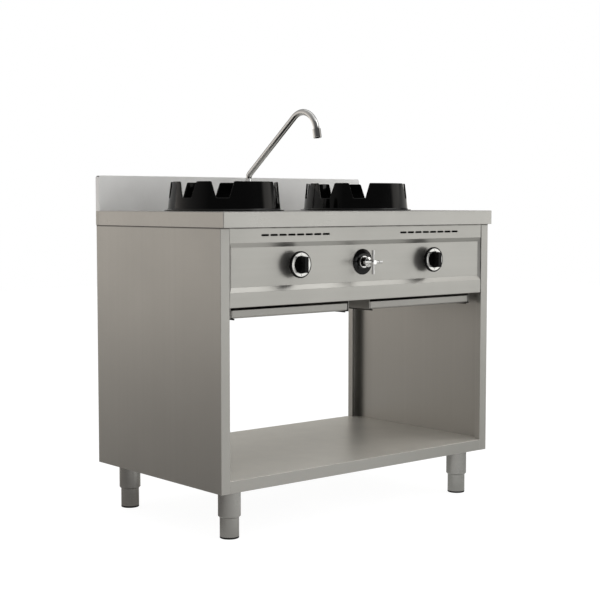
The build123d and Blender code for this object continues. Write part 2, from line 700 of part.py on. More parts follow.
for name, side in sides.items():
    axis_x = side * burner_x
    control_axis = plane_at_y(0, axis_x, control_z)

    # Gas tap: a brass block on the manifold that guides the spindle and houses the plug.
    with BuildPart() as gas_valve:
        with BuildSketch(control_axis.offset(face_back_y)):
            Circle(valve_neck_radius)
        extrude(amount=valve_neck_length)
        box_between(axis_x - valve_width / 2, axis_x + valve_width / 2, block_front_y,
                    block_back_y, control_z - valve_height / 2, control_z + valve_height / 2)
        box_between(axis_x - saddle_width / 2, axis_x + saddle_width / 2,
                    manifold_y - saddle_depth / 2, min(manifold_y + saddle_depth / 2, block_back_y),
                    manifold_z, control_z - valve_height / 2)
        with BuildSketch(control_axis.offset(block_back_y)):
            Circle(valve_outlet_radius)
        extrude(amount=valve_outlet_length)
        with BuildSketch(Plane(origin=(axis_x - valve_width, manifold_y, manifold_z),
                               z_dir=(1, 0, 0))):
            Circle(manifold_radius + running_fit)
        extrude(amount=2 * valve_width, mode=Mode.SUBTRACT)
        with BuildSketch(control_axis.offset(face_back_y)):
            Circle(spindle_radius + running_fit)
        extrude(amount=valve_neck_length + plug_start, mode=Mode.SUBTRACT)
        with BuildSketch(control_axis.offset(plug_front_y)):
            Circle(plug_radius + running_fit)
        extrude(amount=plug_length + seam, mode=Mode.SUBTRACT)
        with BuildSketch(control_axis.offset(plug_front_y + plug_length)):
            Circle(supply_bore)
        extrude(amount=block_back_y + valve_outlet_length - plug_front_y - plug_length,
                mode=Mode.SUBTRACT)
    save(gas_valve, f"{name}_gas_valve")

    # Plug: turns in the block, driven by the spindle's flat.
    with BuildPart() as plug:
        with BuildSketch(control_axis.offset(plug_front_y + seam)):
            Circle(plug_radius)
        extrude(amount=plug_length - seam)
        with BuildSketch(control_axis.offset(plug_front_y)):
            add(d_profile(spindle_radius + running_fit, spindle_flat + running_fit))
        extrude(amount=spindle_engagement + 2 * knob_push, mode=Mode.SUBTRACT)
        with BuildSketch(Plane.XY.offset(control_z - plug_radius)):
            with Locations((axis_x, plug_front_y + plug_length * 0.75)):
                Circle(supply_bore)
        extrude(amount=plug_radius, mode=Mode.SUBTRACT)
        with BuildSketch(control_axis.offset(plug_front_y + plug_length * 0.75)):
            Circle(supply_bore)
        extrude(amount=plug_length * 0.25, mode=Mode.SUBTRACT)
    save(plug, f"{name}_valve_plug")

    with BuildPart() as spindle:
        with BuildSketch(control_axis.offset(spindle_front_y)):
            add(d_profile(spindle_radius, spindle_flat))
        extrude(amount=spindle_back_y - spindle_front_y)
    save(spindle, f"{name}_valve_spindle")

    # Knob: a disc on a narrower hub, with an upright bar to grip.
    with BuildPart() as knob:
        with BuildSketch(control_axis.offset(knob_front_y)):
            Circle(knob_radius)
        extrude(amount=knob_rim)
        fillet(knob.edges().filter_by(GeomType.CIRCLE), knob_edge_radius)
        with BuildSketch(control_axis.offset(knob_front_y + knob_rim)):
            Circle(knob_hub_radius)
        extrude(amount=knob_back_y - knob_front_y - knob_rim)
        with BuildSketch(control_axis.offset(knob_front_y)):
            RectangleRounded(grip_width, grip_height, grip_radius)
        extrude(amount=-grip_reach, taper=4)
        grip_front = knob.faces().sort_by(Axis.Y)[0]
        fillet(grip_front.edges(), grip_radius / 2)
        with BuildSketch(control_axis.offset(knob_front_y)):
            Circle(dial_outer_radius + running_fit)
            Circle(dial_inner_radius - running_fit, mode=Mode.SUBTRACT)
        extrude(amount=dial_thickness - seam, mode=Mode.SUBTRACT)
        with BuildSketch(control_axis.offset(spindle_front_y - running_fit)):
            add(d_profile(spindle_radius + running_fit, spindle_flat + running_fit))
        extrude(amount=knob_back_y - spindle_front_y + running_fit, mode=Mode.SUBTRACT)
    save(knob, f"{name}_knob")

    with BuildPart() as dial:
        with BuildSketch(control_axis.offset(knob_front_y - seam)):
            Circle(dial_outer_radius)
            Circle(dial_inner_radius, mode=Mode.SUBTRACT)
        extrude(amount=dial_thickness)
    save(dial, f"{name}_knob_dial")

    # Supply pipe: from the gas tap up to the injector in the mixing tube's mouth.
    supply_start_y = block_back_y + valve_outlet_length
    injector_y = mixer_mouth_y - injector_length / 2
    with BuildPart() as supply_pipe:
        with BuildLine() as supply_route:
            FilletPolyline((axis_x, supply_start_y, control_z),
                           (axis_x, supply_start_y + supply_lead, control_z),
                           (axis_x, injector_y - supply_lead, mixer_z),
                           (axis_x, injector_y, mixer_z), radius=supply_bend_radius)
        with BuildSketch(plane_at_y(supply_start_y, axis_x, control_z)):
            Circle(supply_radius)
            Circle(supply_bore, mode=Mode.SUBTRACT)
        sweep(path=supply_route.line)
        with BuildSketch(plane_at_y(injector_y, axis_x, mixer_z)):
            Circle(injector_radius)
        extrude(amount=injector_length)
        with BuildSketch(plane_at_y(injector_y, axis_x, mixer_z)):
            Circle(supply_bore / 3)
        extrude(amount=injector_length, mode=Mode.SUBTRACT)
    save(supply_pipe, f"{name}_supply_pipe")

# ---- Pilot burners and thermocouples: thin tubes from each gas tap to its burner head ----
for label, tube_radius, way in (("pilot_burners", pilot_radius, 1),
                                ("thermocouples", thermocouple_radius, -1)):
    with BuildPart() as pilot_tubes:
        for side in sides.values():
            port_x = side * burner_x + way * valve_width / 2
            tip_x = side * burner_x + way * pilot_offset
            tip_z = worktop_height - pilot_top_drop
            with BuildLine() as tube_route:
                FilletPolyline((port_x, pilot_y, pilot_z), (tip_x, pilot_y, pilot_z),
                               (tip_x, burner_y, pilot_z), (tip_x, burner_y, tip_z - pilot_tip_length),
                               radius=pilot_bend_radius)
            with BuildSketch(Plane(origin=(port_x, pilot_y, pilot_z), z_dir=(way, 0, 0))):
                Circle(tube_radius)
            sweep(path=tube_route.line)
            with BuildSketch(Plane.XY.offset(tip_z - pilot_tip_length)):
                with Locations((tip_x, burner_y)):
                    Circle(pilot_tip_radius if way > 0 else tube_radius * 1.5)
            extrude(amount=pilot_tip_length)
    save(pilot_tubes, label)

# ---- Water tap: body behind the panel, flange and lock nut in front of it ----
tap_axis = plane_at_y(0, tap_x, control_z)
tap_body_y = face_y + tap_body_back
port_y = tap_body_y + tap_body_length / 2
flange_front_y = face_y - flange_thickness
collar_front_y = flange_front_y - collar_thickness
handle_back_y = face_y - handle_standoff
bonnet_front_y = handle_back_y + handle_gap
tap_spindle_radius = spindle_radius
with BuildPart() as tap_body:
    with BuildSketch(tap_axis.offset(collar_front_y)):
        Circle(tap_neck_radius)
    extrude(amount=tap_body_y - collar_front_y)
    with BuildSketch(tap_axis.offset(bonnet_front_y)):
        Circle(bonnet_radius)
    extrude(amount=collar_front_y - bonnet_front_y)
    with BuildSketch(tap_axis.offset(tap_body_y)):
        Circle(tap_body_radius)
    extrude(amount=tap_body_length)
    with BuildSketch(Plane(origin=(tap_x, port_y, control_z - tap_port_length))):
        Circle(tap_port_radius)
    extrude(amount=2 * tap_port_length)
    with BuildSketch(Plane(origin=(tap_x, port_y, control_z - tap_port_length))):
        Circle(water_pipe_bore)
    extrude(amount=2 * tap_port_length, mode=Mode.SUBTRACT)
    with BuildSketch(tap_axis.offset(bonnet_front_y)):
        Circle(tap_spindle_radius + running_fit)
    extrude(amount=tap_body_y + tap_spindle_depth - bonnet_front_y, mode=Mode.SUBTRACT)
save(tap_body, "tap_body")

with BuildPart() as tap_flange:
    with BuildSketch(Plane(origin=(tap_x, 0, control_z), x_dir=(1, 0, 0), z_dir=(0, 0, 1))):
        bore = tap_neck_radius + tap_neck_clearance
        with BuildLine():
            Line((bore, face_y), (flange_radius - 1, face_y))
            Line((flange_radius - 1, face_y), (flange_radius, face_y - 1))
            Line((flange_radius, face_y - 1), (flange_radius, flange_front_y + flange_dome))
            TangentArc((collar_radius, flange_front_y), (flange_radius, flange_front_y + flange_dome),
                       tangent=(1, 0))
            Line((collar_radius, flange_front_y), (bore, flange_front_y))
            Line((bore, flange_front_y), (bore, face_y))
        make_face()
    revolve(axis=Axis((tap_x, 0, control_z), (0, 1, 0)))
save(tap_flange, "tap_flange")

with BuildPart() as tap_collar:
    with BuildSketch(tap_axis.offset(collar_front_y)):
        Circle(collar_radius)
        Circle(tap_neck_radius + tap_neck_clearance, mode=Mode.SUBTRACT)
    extrude(amount=collar_thickness)
    collar_rims = tap_collar.faces().sort_by(Axis.Y)[0].edges()
    fillet(collar_rims, 1.5)
save(tap_collar, "tap_collar")

# Cross handle: a bell, a waist and a hub with four slim arms that end in small cylinders.
hub_front_y = face_y - handle_reach
bell_front_y = hub_front_y + hub_length + handle_neck_length
arm_y = hub_front_y + hub_length / 2
with BuildPart() as cross_handle:
    with BuildSketch(Plane(origin=(tap_x, 0, control_z), x_dir=(1, 0, 0), z_dir=(0, 0, 1))):
        with BuildLine():
            Line((0, handle_back_y), (bell_radius, handle_back_y))
            Line((bell_radius, handle_back_y), (bell_radius, handle_back_y - 2))
            Spline((bell_radius, handle_back_y - 2), (handle_neck_radius, bell_front_y),
                   tangents=((-0.25, -1), (-0.05, -1)))
            Line((handle_neck_radius, bell_front_y), (handle_neck_radius, hub_front_y + hub_length))
            Line((handle_neck_radius, hub_front_y + hub_length),
                 (hub_radius, hub_front_y + hub_length - 2))
            Line((hub_radius, hub_front_y + hub_length - 2), (hub_radius, hub_front_y + 2))
            Line((hub_radius, hub_front_y + 2), (hub_radius - 2, hub_front_y))
            Line((hub_radius - 2, hub_front_y), (0, hub_front_y))
            Line((0, hub_front_y), (0, handle_back_y))
        make_face()
    revolve(axis=Axis((tap_x, 0, control_z), (0, 1, 0)))
    for index in range(arm_count):
        angle = radians(index * 360 / arm_count)
        outward = (sin(angle), 0, cos(angle))
        with BuildSketch(Plane(origin=(tap_x, arm_y, control_z), z_dir=outward)):
            Circle(arm_radius)
        extrude(amount=arm_span / 2 - arm_tip_length / 2)
        tip_start = arm_span / 2 - arm_tip_length
        with BuildSketch(Plane(origin=(tap_x, arm_y, control_z), z_dir=outward).offset(tip_start)):
            Circle(arm_tip_radius)
        extrude(amount=arm_tip_length)
    with BuildSketch(tap_axis.offset(handle_back_y - tap_spindle_head)):
        Circle(tap_spindle_radius + running_fit)
    extrude(amount=tap_spindle_head, mode=Mode.SUBTRACT)
save(cross_handle, "cross_handle")

with BuildPart() as tap_spindle:
    with BuildSketch(tap_axis.offset(handle_back_y - tap_spindle_head + running_fit)):
        Circle(tap_spindle_radius)
    extrude(amount=tap_body_y + tap_spindle_depth - seam - handle_back_y + tap_spindle_head)
save(tap_spindle, "tap_spindle")

# ---- Water pipes: from the threaded inlet to the tap, and from the tap to the spout ----
water_high_z = control_z + water_high_run
shank_bottom = worktop_height - spout_shank_length
with BuildPart() as water_inlet_pipe:
    with BuildLine() as inlet_route:
        FilletPolyline((tap_x, port_y, control_z - tap_port_length), (tap_x, port_y, water_low_z),
                       (tap_x, inlet_end_y - water_thread_length, water_low_z),
                       radius=water_bend_radius)
    inlet_start = Plane(origin=(tap_x, port_y, control_z - tap_port_length), z_dir=(0, 0, -1))
    with BuildSketch(inlet_start):
        Circle(water_pipe_radius)
        Circle(water_pipe_bore, mode=Mode.SUBTRACT)
    sweep(path=inlet_route.line)
    with BuildSketch(plane_at_y(inlet_end_y - water_thread_length, tap_x, water_low_z)):
        Circle(water_thread_radius)
        Circle(water_pipe_bore, mode=Mode.SUBTRACT)
    extrude(amount=water_thread_length)
save(water_inlet_pipe, "water_inlet_pipe")

with BuildPart() as spout_feed_pipe:
    with BuildLine() as feed_route:
        FilletPolyline((tap_x, port_y, control_z + tap_port_length), (tap_x, port_y, water_high_z),
                       (0, spout_y, water_high_z), (0, spout_y, shank_bottom),
                       radius=(water_bend_radius, min(water_bend_radius,
                                                      shank_bottom - water_high_z - 1)))
    with BuildSketch(Plane(origin=(tap_x, port_y, control_z + tap_port_length))):
        Circle(water_pipe_radius)
        Circle(water_pipe_bore, mode=Mode.SUBTRACT)
    sweep(path=feed_route.line)
save(spout_feed_pipe, "spout_feed_pipe")

# ---- Spout base: a flanged socket through the worktop, held by a nut below ----
with BuildPart() as spout_base:
    with BuildSketch(Plane(origin=(0, spout_y, worktop_height), x_dir=(1, 0, 0),
                           z_dir=(0, -1, 0))):
        nut_bottom = spout_base_height - spout_nut_height
        socket_floor = spout_base_height - spout_socket
        with BuildLine():
            Polyline((water_pipe_bore, -spout_shank_length), (spout_shank_radius, -spout_shank_length),
                     (spout_shank_radius, 0), (spout_flange_radius, 0),
                     (spout_flange_radius, spout_flange_thickness * 0.6),
                     (spout_flange_radius - 3, spout_flange_thickness),
                     (spout_base_radius, spout_flange_thickness + 2),
                     (spout_base_radius, nut_bottom), (spout_nut_radius, nut_bottom + 1),
                     (spout_nut_radius, spout_base_height - 1),
                     (spout_nut_radius - 1, spout_base_height),
                     (spout_radius + running_fit, spout_base_height),
                     (spout_radius + running_fit, socket_floor), (water_pipe_bore, socket_floor),
                     close=True)
        make_face()
    revolve(axis=Axis((0, spout_y, 0), (0, 0, 1)))
save(spout_base, "spout_base")

with BuildPart() as spout_locknut:
    locknut_top = worktop_height - worktop_sheet
    with BuildSketch(Plane.XY.offset(locknut_top - spout_locknut_height)):
        with Locations((0, spout_y)):
            RegularPolygon(spout_locknut_radius, 6)
            Circle(spout_shank_radius + running_fit, mode=Mode.SUBTRACT)
    extrude(amount=spout_locknut_height)
save(spout_locknut, "spout_locknut")

# ---- Spout: a tube that rises at a slant towards the front and crooks over ----
rise = radians(spout_rise_angle)
spout_bottom = worktop_height + spout_base_height - spout_socket + seam
knee_z = worktop_height + spout_knee_height
crook_start = (-spout_straight * cos(rise), knee_z + spout_straight * sin(rise))
crook_centre = (crook_start[0] - spout_crook_radius * sin(rise),
                crook_start[1] - spout_crook_radius * cos(rise))


def crook_point(sweep_angle):
    """Point of the crook's centre line, as offset from the spout's axis and height."""
    turn = radians(90 - spout_rise_angle + sweep_angle)
    return (crook_centre[0] - spout_crook_radius * sin(turn - radians(90)),
            crook_centre[1] + spout_crook_radius * cos(turn - radians(90)))


crook_mid = crook_point(spout_crook_sweep / 2)
crook_end = crook_point(spout_crook_sweep)
tip_turn = radians(spout_crook_sweep - spout_rise_angle)
tip_direction = (0, -cos(tip_turn), -sin(tip_turn))
with BuildPart() as spout:
    with BuildLine() as spout_route:
        knee = FilletPolyline((0, spout_y, spout_bottom), (0, spout_y, knee_z),
                              (0, spout_y + crook_start[0], crook_start[1]),
                              radius=spout_knee_radius)
        crook = ThreePointArc(knee @ 1, (0, spout_y + crook_mid[0], crook_mid[1]),
                              (0, spout_y + crook_end[0], crook_end[1]))
        Line(crook @ 1, crook @ 1 + (crook % 1) * aerator_overlap)
    with BuildSketch(Plane.XY.offset(spout_bottom)):
        with Locations((0, spout_y)):
            Circle(spout_radius)
            Circle(spout_bore, mode=Mode.SUBTRACT)
    sweep(path=spout_route.line)
save(spout, "spout")

with BuildPart() as aerator:
    tip = Plane(origin=(0, spout_y + crook_end[0], crook_end[1]), x_dir=(1, 0, 0),
                z_dir=tip_direction)
    with BuildSketch(tip):
        Circle(aerator_radius)
    extrude(amount=aerator_length)
    with BuildSketch(tip):
        Circle(spout_radius + running_fit)
    extrude(amount=aerator_overlap + seam, mode=Mode.SUBTRACT)
    with BuildSketch(tip.offset(aerator_length - aerator_mouth_depth)):
        Circle(aerator_mouth_radius)
    extrude(amount=aerator_mouth_depth, mode=Mode.SUBTRACT)
save(aerator, "spout_aerator")
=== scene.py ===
from math import cos, pi, radians, sin

import bpy
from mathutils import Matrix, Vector


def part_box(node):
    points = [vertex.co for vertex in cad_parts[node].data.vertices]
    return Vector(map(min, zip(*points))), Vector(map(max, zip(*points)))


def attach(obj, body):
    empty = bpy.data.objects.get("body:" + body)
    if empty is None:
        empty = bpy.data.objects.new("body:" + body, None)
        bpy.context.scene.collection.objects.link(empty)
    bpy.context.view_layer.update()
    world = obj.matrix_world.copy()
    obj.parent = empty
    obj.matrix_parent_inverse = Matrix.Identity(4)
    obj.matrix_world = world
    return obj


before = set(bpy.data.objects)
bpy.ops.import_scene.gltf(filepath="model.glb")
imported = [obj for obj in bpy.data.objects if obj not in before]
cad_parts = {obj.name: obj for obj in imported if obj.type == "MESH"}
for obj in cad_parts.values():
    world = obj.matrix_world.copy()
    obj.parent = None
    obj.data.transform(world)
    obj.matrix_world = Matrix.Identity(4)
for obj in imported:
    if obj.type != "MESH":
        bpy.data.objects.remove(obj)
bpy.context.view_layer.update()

# ---- Cabinet sheets ----
# The side panels, low shelf, rear panel and cross rails are folded from satin stainless sheet.
# The rolls leave fine lines along each sheet, and hands leave faint, wide smudges. The shelf's
# top is painted pale as painted light, and painted shade darkens the sides under the worktop.

steel_light = (0.445, 0.438, 0.415)
steel_dark = (0.405, 0.397, 0.375)
steel_roughness = 0.34
sheet_metallic = 0.86
fold_radius = 0.0013
fine_lines = 1400.0
long_lines = 5.0
streak_share = (0.045, 0.045, 0.045)
painted_shade_start = 0.0045
painted_shade_full = 0.0020


def node(tree, kind, **settings):
    """Adds a shader node and sets its properties and its named or numbered inputs."""
    made = tree.nodes.new("ShaderNode" + kind)
    for key, value in settings.pop("inputs", {}).items():
        made.inputs[key].default_value = value
    for key, value in settings.items():
        setattr(made, key, value)
    return made


def join(tree, *pairs):
    """Links sockets given as (from, to) pairs."""
    for start, end in pairs:
        tree.links.new(start, end)


def object_noise(tree, scale, detail, roughness=0.5):
    """A noise laid out in the object's own coordinates."""
    place = node(tree, "TexCoord")
    noise = node(tree, "TexNoise",
                 inputs={"Scale": scale, "Detail": detail, "Roughness": roughness})
    join(tree, (place.outputs["Object"], noise.inputs["Vector"]))
    return noise


def vary(tree, noise, middle, ends, socket):
    """Spreads a noise's middle range over two end values for a socket."""
    spread = node(tree, "MapRange",
                  inputs={1: middle[0], 2: middle[1], 3: ends[0], 4: ends[1]})
    join(tree, (noise.outputs["Fac"], spread.inputs[0]), (spread.outputs[0], socket))


def blend_tones(tree, factor, first, second, socket):
    """Blends two tones by a factor for a socket."""
    tones = node(tree, "Mix", data_type="RGBA", inputs={6: (*first, 1), 7: (*second, 1)})
    join(tree, (factor, tones.inputs[0]), (tones.outputs[2], socket))


def emboss(tree, noise, strength, distance, surface):
    """Raises a noise as fine relief on a surface, and returns the relief."""
    relief = node(tree, "Bump", inputs={"Strength": strength, "Distance": distance})
    join(tree, (noise.outputs["Fac"], relief.inputs["Height"]),
         (relief.outputs[0], surface.inputs["Normal"]))
    return relief


def open_group(name, sockets_in, sockets_out):
    """A new shader node group with its inputs (name: kind) and outputs, and both end nodes."""
    group = bpy.data.node_groups.new(name, "ShaderNodeTree")
    for label, kind in sockets_in.items():
        group.interface.new_socket(label, in_out="INPUT", socket_type="NodeSocket" + kind)
    for label, kind in sockets_out.items():
        group.interface.new_socket(label, in_out="OUTPUT", socket_type="NodeSocket" + kind)
    return group, group.nodes.new("NodeGroupInput"), group.nodes.new("NodeGroupOutput")


def rolled_sheet_group():
    """Fine rolling lines, wider streaks and smudges, with each fold rounded and a painted highlight
    along it.
    """
    group, given, result = open_group(
        "rolled_sheet",
        {"Light": "Color", "Dark": "Color", "Lines": "Vector", "Roughness": "Float",
         "Depth": "Float"},
        {"Colour": "Color", "Roughness": "Float", "Normal": "Vector"})
    place = node(group, "TexCoord")
    stretch = node(group, "VectorMath", operation="MULTIPLY")
    lines = node(group, "TexNoise", inputs={"Scale": 1.0, "Detail": 4.0, "Roughness": 0.7})
    streak_place = node(group, "VectorMath", operation="MULTIPLY", inputs={1: streak_share})
    streaks = node(group, "TexNoise", inputs={"Scale": 1.0, "Detail": 3.0, "Roughness": 0.6})
    smudges = node(group, "TexNoise", inputs={"Scale": 5.5, "Detail": 5.0, "Roughness": 0.62})
    shade = node(group, "Mix", data_type="FLOAT", inputs={0: 0.3})
    colour = node(group, "Mix", data_type="RGBA")
    rough_smudge = node(group, "MapRange", inputs={1: 0.35, 2: 0.7, 3: -0.02, 4: 0.03})
    rough_lines = node(group, "MapRange", inputs={1: 0.3, 2: 0.7, 3: -0.012, 4: 0.012})
    rough_sum = node(group, "Math", operation="ADD")
    rough = node(group, "Math", operation="ADD")
    fold = node(group, "Bevel", samples=4, inputs={"Radius": fold_radius})
    relief = node(group, "Bump", inputs={"Distance": 0.00002})
    flat = node(group, "NewGeometry")
    turned = node(group, "VectorMath", operation="DOT_PRODUCT")
    # Painted highlight: where the bevelled normal turns away from the flat one, the colour is
    # blended towards a pale tone.
    fold_highlight = node(group, "MapRange", inputs={1: 0.995, 2: 0.86, 3: 0.0, 4: 0.55})
    bright = node(group, "Mix", data_type="RGBA", inputs={7: (0.80, 0.79, 0.76, 1)})
    join(group,
         (fold.outputs[0], turned.inputs[0]), (flat.outputs["Normal"], turned.inputs[1]),
         (turned.outputs["Value"], fold_highlight.inputs[0]), (fold_highlight.outputs[0], bright.inputs[0]),
         (colour.outputs[2], bright.inputs[6]),
         (place.outputs["Object"], stretch.inputs[0]), (given.outputs["Lines"], stretch.inputs[1]),
         (stretch.outputs[0], lines.inputs["Vector"]), (stretch.outputs[0], streak_place.inputs[0]),
         (streak_place.outputs[0], streaks.inputs["Vector"]),
         (place.outputs["Object"], smudges.inputs["Vector"]),
         (streaks.outputs["Fac"], shade.inputs[2]), (lines.outputs["Fac"], shade.inputs[3]),
         (shade.outputs[0], colour.inputs[0]),
         (given.outputs["Dark"], colour.inputs[6]), (given.outputs["Light"], colour.inputs[7]),
         (smudges.outputs["Fac"], rough_smudge.inputs[0]),
         (lines.outputs["Fac"], rough_lines.inputs[0]),
         (rough_smudge.outputs[0], rough_sum.inputs[0]),
         (rough_lines.outputs[0], rough_sum.inputs[1]),
         (rough_sum.outputs[0], rough.inputs[0]), (given.outputs["Roughness"], rough.inputs[1]),
         (fold.outputs[0], relief.inputs["Normal"]),
         (lines.outputs["Fac"], relief.inputs["Height"]),
         (given.outputs["Depth"], relief.inputs["Strength"]),
         (bright.outputs[2], result.inputs["Colour"]),
         (rough.outputs[0], result.inputs["Roughness"]),
         (relief.outputs[0], result.inputs["Normal"]))
    return group


def open_material(name, colour, metallic, roughness):
    """A new material with its tree and its Principled surface set to plain values."""
    material = bpy.data.materials.new(name)
    material.use_nodes = True
    surface = material.node_tree.nodes["Principled BSDF"]
    surface.inputs["Base Color"].default_value = (*colour, 1.0)
    surface.inputs["Metallic"].default_value = metallic
    surface.inputs["Roughness"].default_value = roughness
    return material, material.node_tree, surface


rolled_sheet = rolled_sheet_group()


def sheet_steel(name, lines_along, roughness=steel_roughness, light=steel_light, dark=steel_dark):
    """Satin stainless whose rolling lines run along the given axis."""
    material, tree, surface = open_material(name, light, sheet_metallic, roughness)
    finish = node(tree, "Group", node_tree=rolled_sheet)
    spread = [fine_lines] * 3
    spread["XYZ".index(lines_along)] = long_lines
    finish.inputs["Lines"].default_value = spread
    finish.inputs["Light"].default_value = (*light, 1.0)
    finish.inputs["Dark"].default_value = (*dark, 1.0)
    finish.inputs["Roughness"].default_value = roughness
    finish.inputs["Depth"].default_value = 0.15
    join(tree, (finish.outputs["Colour"], surface.inputs["Base Color"]),
         (finish.outputs["Roughness"], surface.inputs["Roughness"]),
         (finish.outputs["Normal"], surface.inputs["Normal"]))
    return material


def dress(material, *names):
    """Gives CAD nodes their finish in every material slot."""
    for name in names:
        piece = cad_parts[name]
        if not piece.material_slots:
            piece.data.materials.append(material)
        for slot in piece.material_slots:
            slot.material = material


def painted_tone_steel(name, source, axis, low, high, share, tone, metallic, dull, above=-1.0,
                     **sheet):
    """Sheet steel with painted light or shade where a normal or a place passes from low to high.

    The painted tone covers the given share of that area, and only what lies above a height.
    """
    material = sheet_steel(name, **sheet)
    tree = material.node_tree
    surface = tree.nodes["Principled BSDF"]
    finish = tree.nodes["Group"]
    place = node(tree, "TexCoord")
    axes = node(tree, "SeparateXYZ")
    reached = node(tree, "MapRange", inputs={1: low, 2: high, 3: 0.0, 4: 1.0})
    height = node(tree, "SeparateXYZ")
    raised = node(tree, "MapRange", inputs={1: above - 0.001, 2: above, 3: 0.0, 4: 1.0})
    reach = node(tree, "Math", operation="MULTIPLY")
    cover = node(tree, "Math", operation="MULTIPLY")
    vary(tree, object_noise(tree, 14.0, 6.0, 0.6), (0.3, 0.7), (share - 0.05, share + 0.05),
         cover.inputs[1])
    colour = node(tree, "Mix", data_type="RGBA", inputs={7: (*tone, 1)})
    metal = node(tree, "Mix", data_type="FLOAT", inputs={2: sheet_metallic, 3: metallic})
    shine = node(tree, "Mix", data_type="FLOAT", inputs={3: dull})
    join(tree, (place.outputs[source], axes.inputs[0]), (axes.outputs[axis], reached.inputs[0]),
         (place.outputs["Object"], height.inputs[0]), (height.outputs["Z"], raised.inputs[0]),
         (reached.outputs[0], reach.inputs[0]), (raised.outputs[0], reach.inputs[1]),
         (reach.outputs[0], cover.inputs[0]),
         (cover.outputs[0], colour.inputs[0]), (cover.outputs[0], metal.inputs[0]),
         (cover.outputs[0], shine.inputs[0]), (finish.outputs["Colour"], colour.inputs[6]),
         (finish.outputs["Roughness"], shine.inputs[2]),
         (colour.outputs[2], surface.inputs["Base Color"]),
         (metal.outputs[0], surface.inputs["Metallic"]),
         (shine.outputs[0], surface.inputs["Roughness"]))
    return material


side_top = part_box("left_side_panel")[1].z
# The sides are painted dark in a narrow band just under the worktop: painted shade under its lip.
side_steel_with_painted_shade = painted_tone_steel("steel_side_painted_shade", "Object", "Z", side_top - painted_shade_start,
                                 side_top - painted_shade_full, share=0.8, tone=(0.050, 0.044, 0.038),
                                 metallic=0.4, dull=0.5, lines_along="Z")
cross_steel = sheet_steel("steel_lines_across", "X")
# The shelf's up-facing top is painted pale: painted light on the top.
shelf_steel_painted_light = painted_tone_steel("steel_shelf_painted_light", "Normal", "Z", 0.4, 0.8, share=0.62,
                               tone=(0.92, 0.88, 0.79), metallic=0.12, dull=0.38,
                               lines_along="X")
dress(side_steel_with_painted_shade, "left_side_panel", "right_side_panel")
dress(cross_steel, "rear_panel", "front_cross_rail", "rear_cross_rail")
dress(shelf_steel_painted_light, "bottom_shelf")

# ---- Control panel ----
# One pressed sheet with a bevelled recess, ground once more after pressing. Painted shade
# darkens its top under the worktop's lip and its ends along the seams, most of all the right.

panel_steel_painted_shade = sheet_steel("steel_panel_face_painted_shade", "X", roughness=0.32)
panel_tree = panel_steel_painted_shade.node_tree
panel_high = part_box("control_panel")[1]
left_shade_start, left_shade_full = 0.0020, 0.0008
# Painted shade: the ends by the seams and the top under the lip are blended, in patches, towards
# near black.
panel_place = node(panel_tree, "TexCoord")
panel_axes = node(panel_tree, "SeparateXYZ")
panel_right_shade = node(panel_tree, "MapRange", inputs={
    1: panel_high.x - painted_shade_start, 2: panel_high.x - painted_shade_full, 3: 0.0, 4: 1.0})
panel_left_shade = node(panel_tree, "MapRange", inputs={
    1: left_shade_start - panel_high.x, 2: left_shade_full - panel_high.x, 3: 0.0, 4: 0.5})
panel_lip_shade = node(panel_tree, "MapRange", inputs={
    1: panel_high.z - painted_shade_start, 2: panel_high.z - painted_shade_full, 3: 0.0, 4: 0.8})
panel_end_shade = node(panel_tree, "Math", operation="ADD")
panel_seam_shade = node(panel_tree, "Math", operation="MAXIMUM")
panel_shade_amount = node(panel_tree, "Math", operation="MULTIPLY")
panel_painted_shade = node(panel_tree, "Mix", data_type="RGBA", inputs={7: (0.025, 0.023, 0.020, 1)})
vary(panel_tree, object_noise(panel_tree, 34.0, 4.0), (0.3, 0.6), (0.55, 0.95),
     panel_shade_amount.inputs[1])
join(panel_tree, (panel_place.outputs["Object"], panel_axes.inputs[0]),
     (panel_axes.outputs["X"], panel_right_shade.inputs[0]),
     (panel_axes.outputs["X"], panel_left_shade.inputs[0]),
     (panel_axes.outputs["Z"], panel_lip_shade.inputs[0]),
     (panel_right_shade.outputs[0], panel_end_shade.inputs[0]), (panel_left_shade.outputs[0], panel_end_shade.inputs[1]),
     (panel_lip_shade.outputs[0], panel_seam_shade.inputs[0]), (panel_end_shade.outputs[0], panel_seam_shade.inputs[1]),
     (panel_seam_shade.outputs[0], panel_shade_amount.inputs[0]), (panel_shade_amount.outputs[0], panel_painted_shade.inputs[0]),
     (panel_tree.nodes["Group"].outputs["Colour"], panel_painted_shade.inputs[6]),
     (panel_painted_shade.outputs[2], panel_tree.nodes["Principled BSDF"].inputs["Base Color"]))
dress(panel_steel_painted_shade, "control_panel")

# ---- Rear panel screws ----
# Pan-head screws with a cross recess hold the rear panel to the side panels and the worktop's
# return, so that the burner space can be reached from behind.

screw_radius = 0.0045
screw_height = 0.0026
screw_recess = 0.0014
screw_slot = 0.0011
screw_inset = 0.010
screw_side = 0.035
screw_steps = 4


def select_none():
    """Leaves edit mode if need be and deselects every object."""
    if bpy.context.object and bpy.context.object.mode == "EDIT":
        bpy.ops.object.mode_set(mode="OBJECT")
    bpy.ops.object.select_all(action="DESELECT")


def settle(piece, name):
    """Names a finished piece and moves its place and turn into its mesh."""
    piece.name = piece.data.name = name
    piece.select_set(True)
    bpy.context.view_layer.objects.active = piece
    bpy.ops.object.transform_apply(location=True, rotation=True, scale=True)
    return piece


def pick_faces(piece, test):
    """In edit mode, selects just the faces whose centre and normal pass the test."""
    bpy.ops.object.mode_set(mode="OBJECT")
    for part in (piece.data.vertices, piece.data.edges, piece.data.polygons):
        part.foreach_set("select", [False] * len(part))
    for face in piece.data.polygons:
        face.select = test(face.center, face.normal)
    bpy.ops.object.mode_set(mode="EDIT")
    bpy.ops.mesh.select_mode(type="FACE")


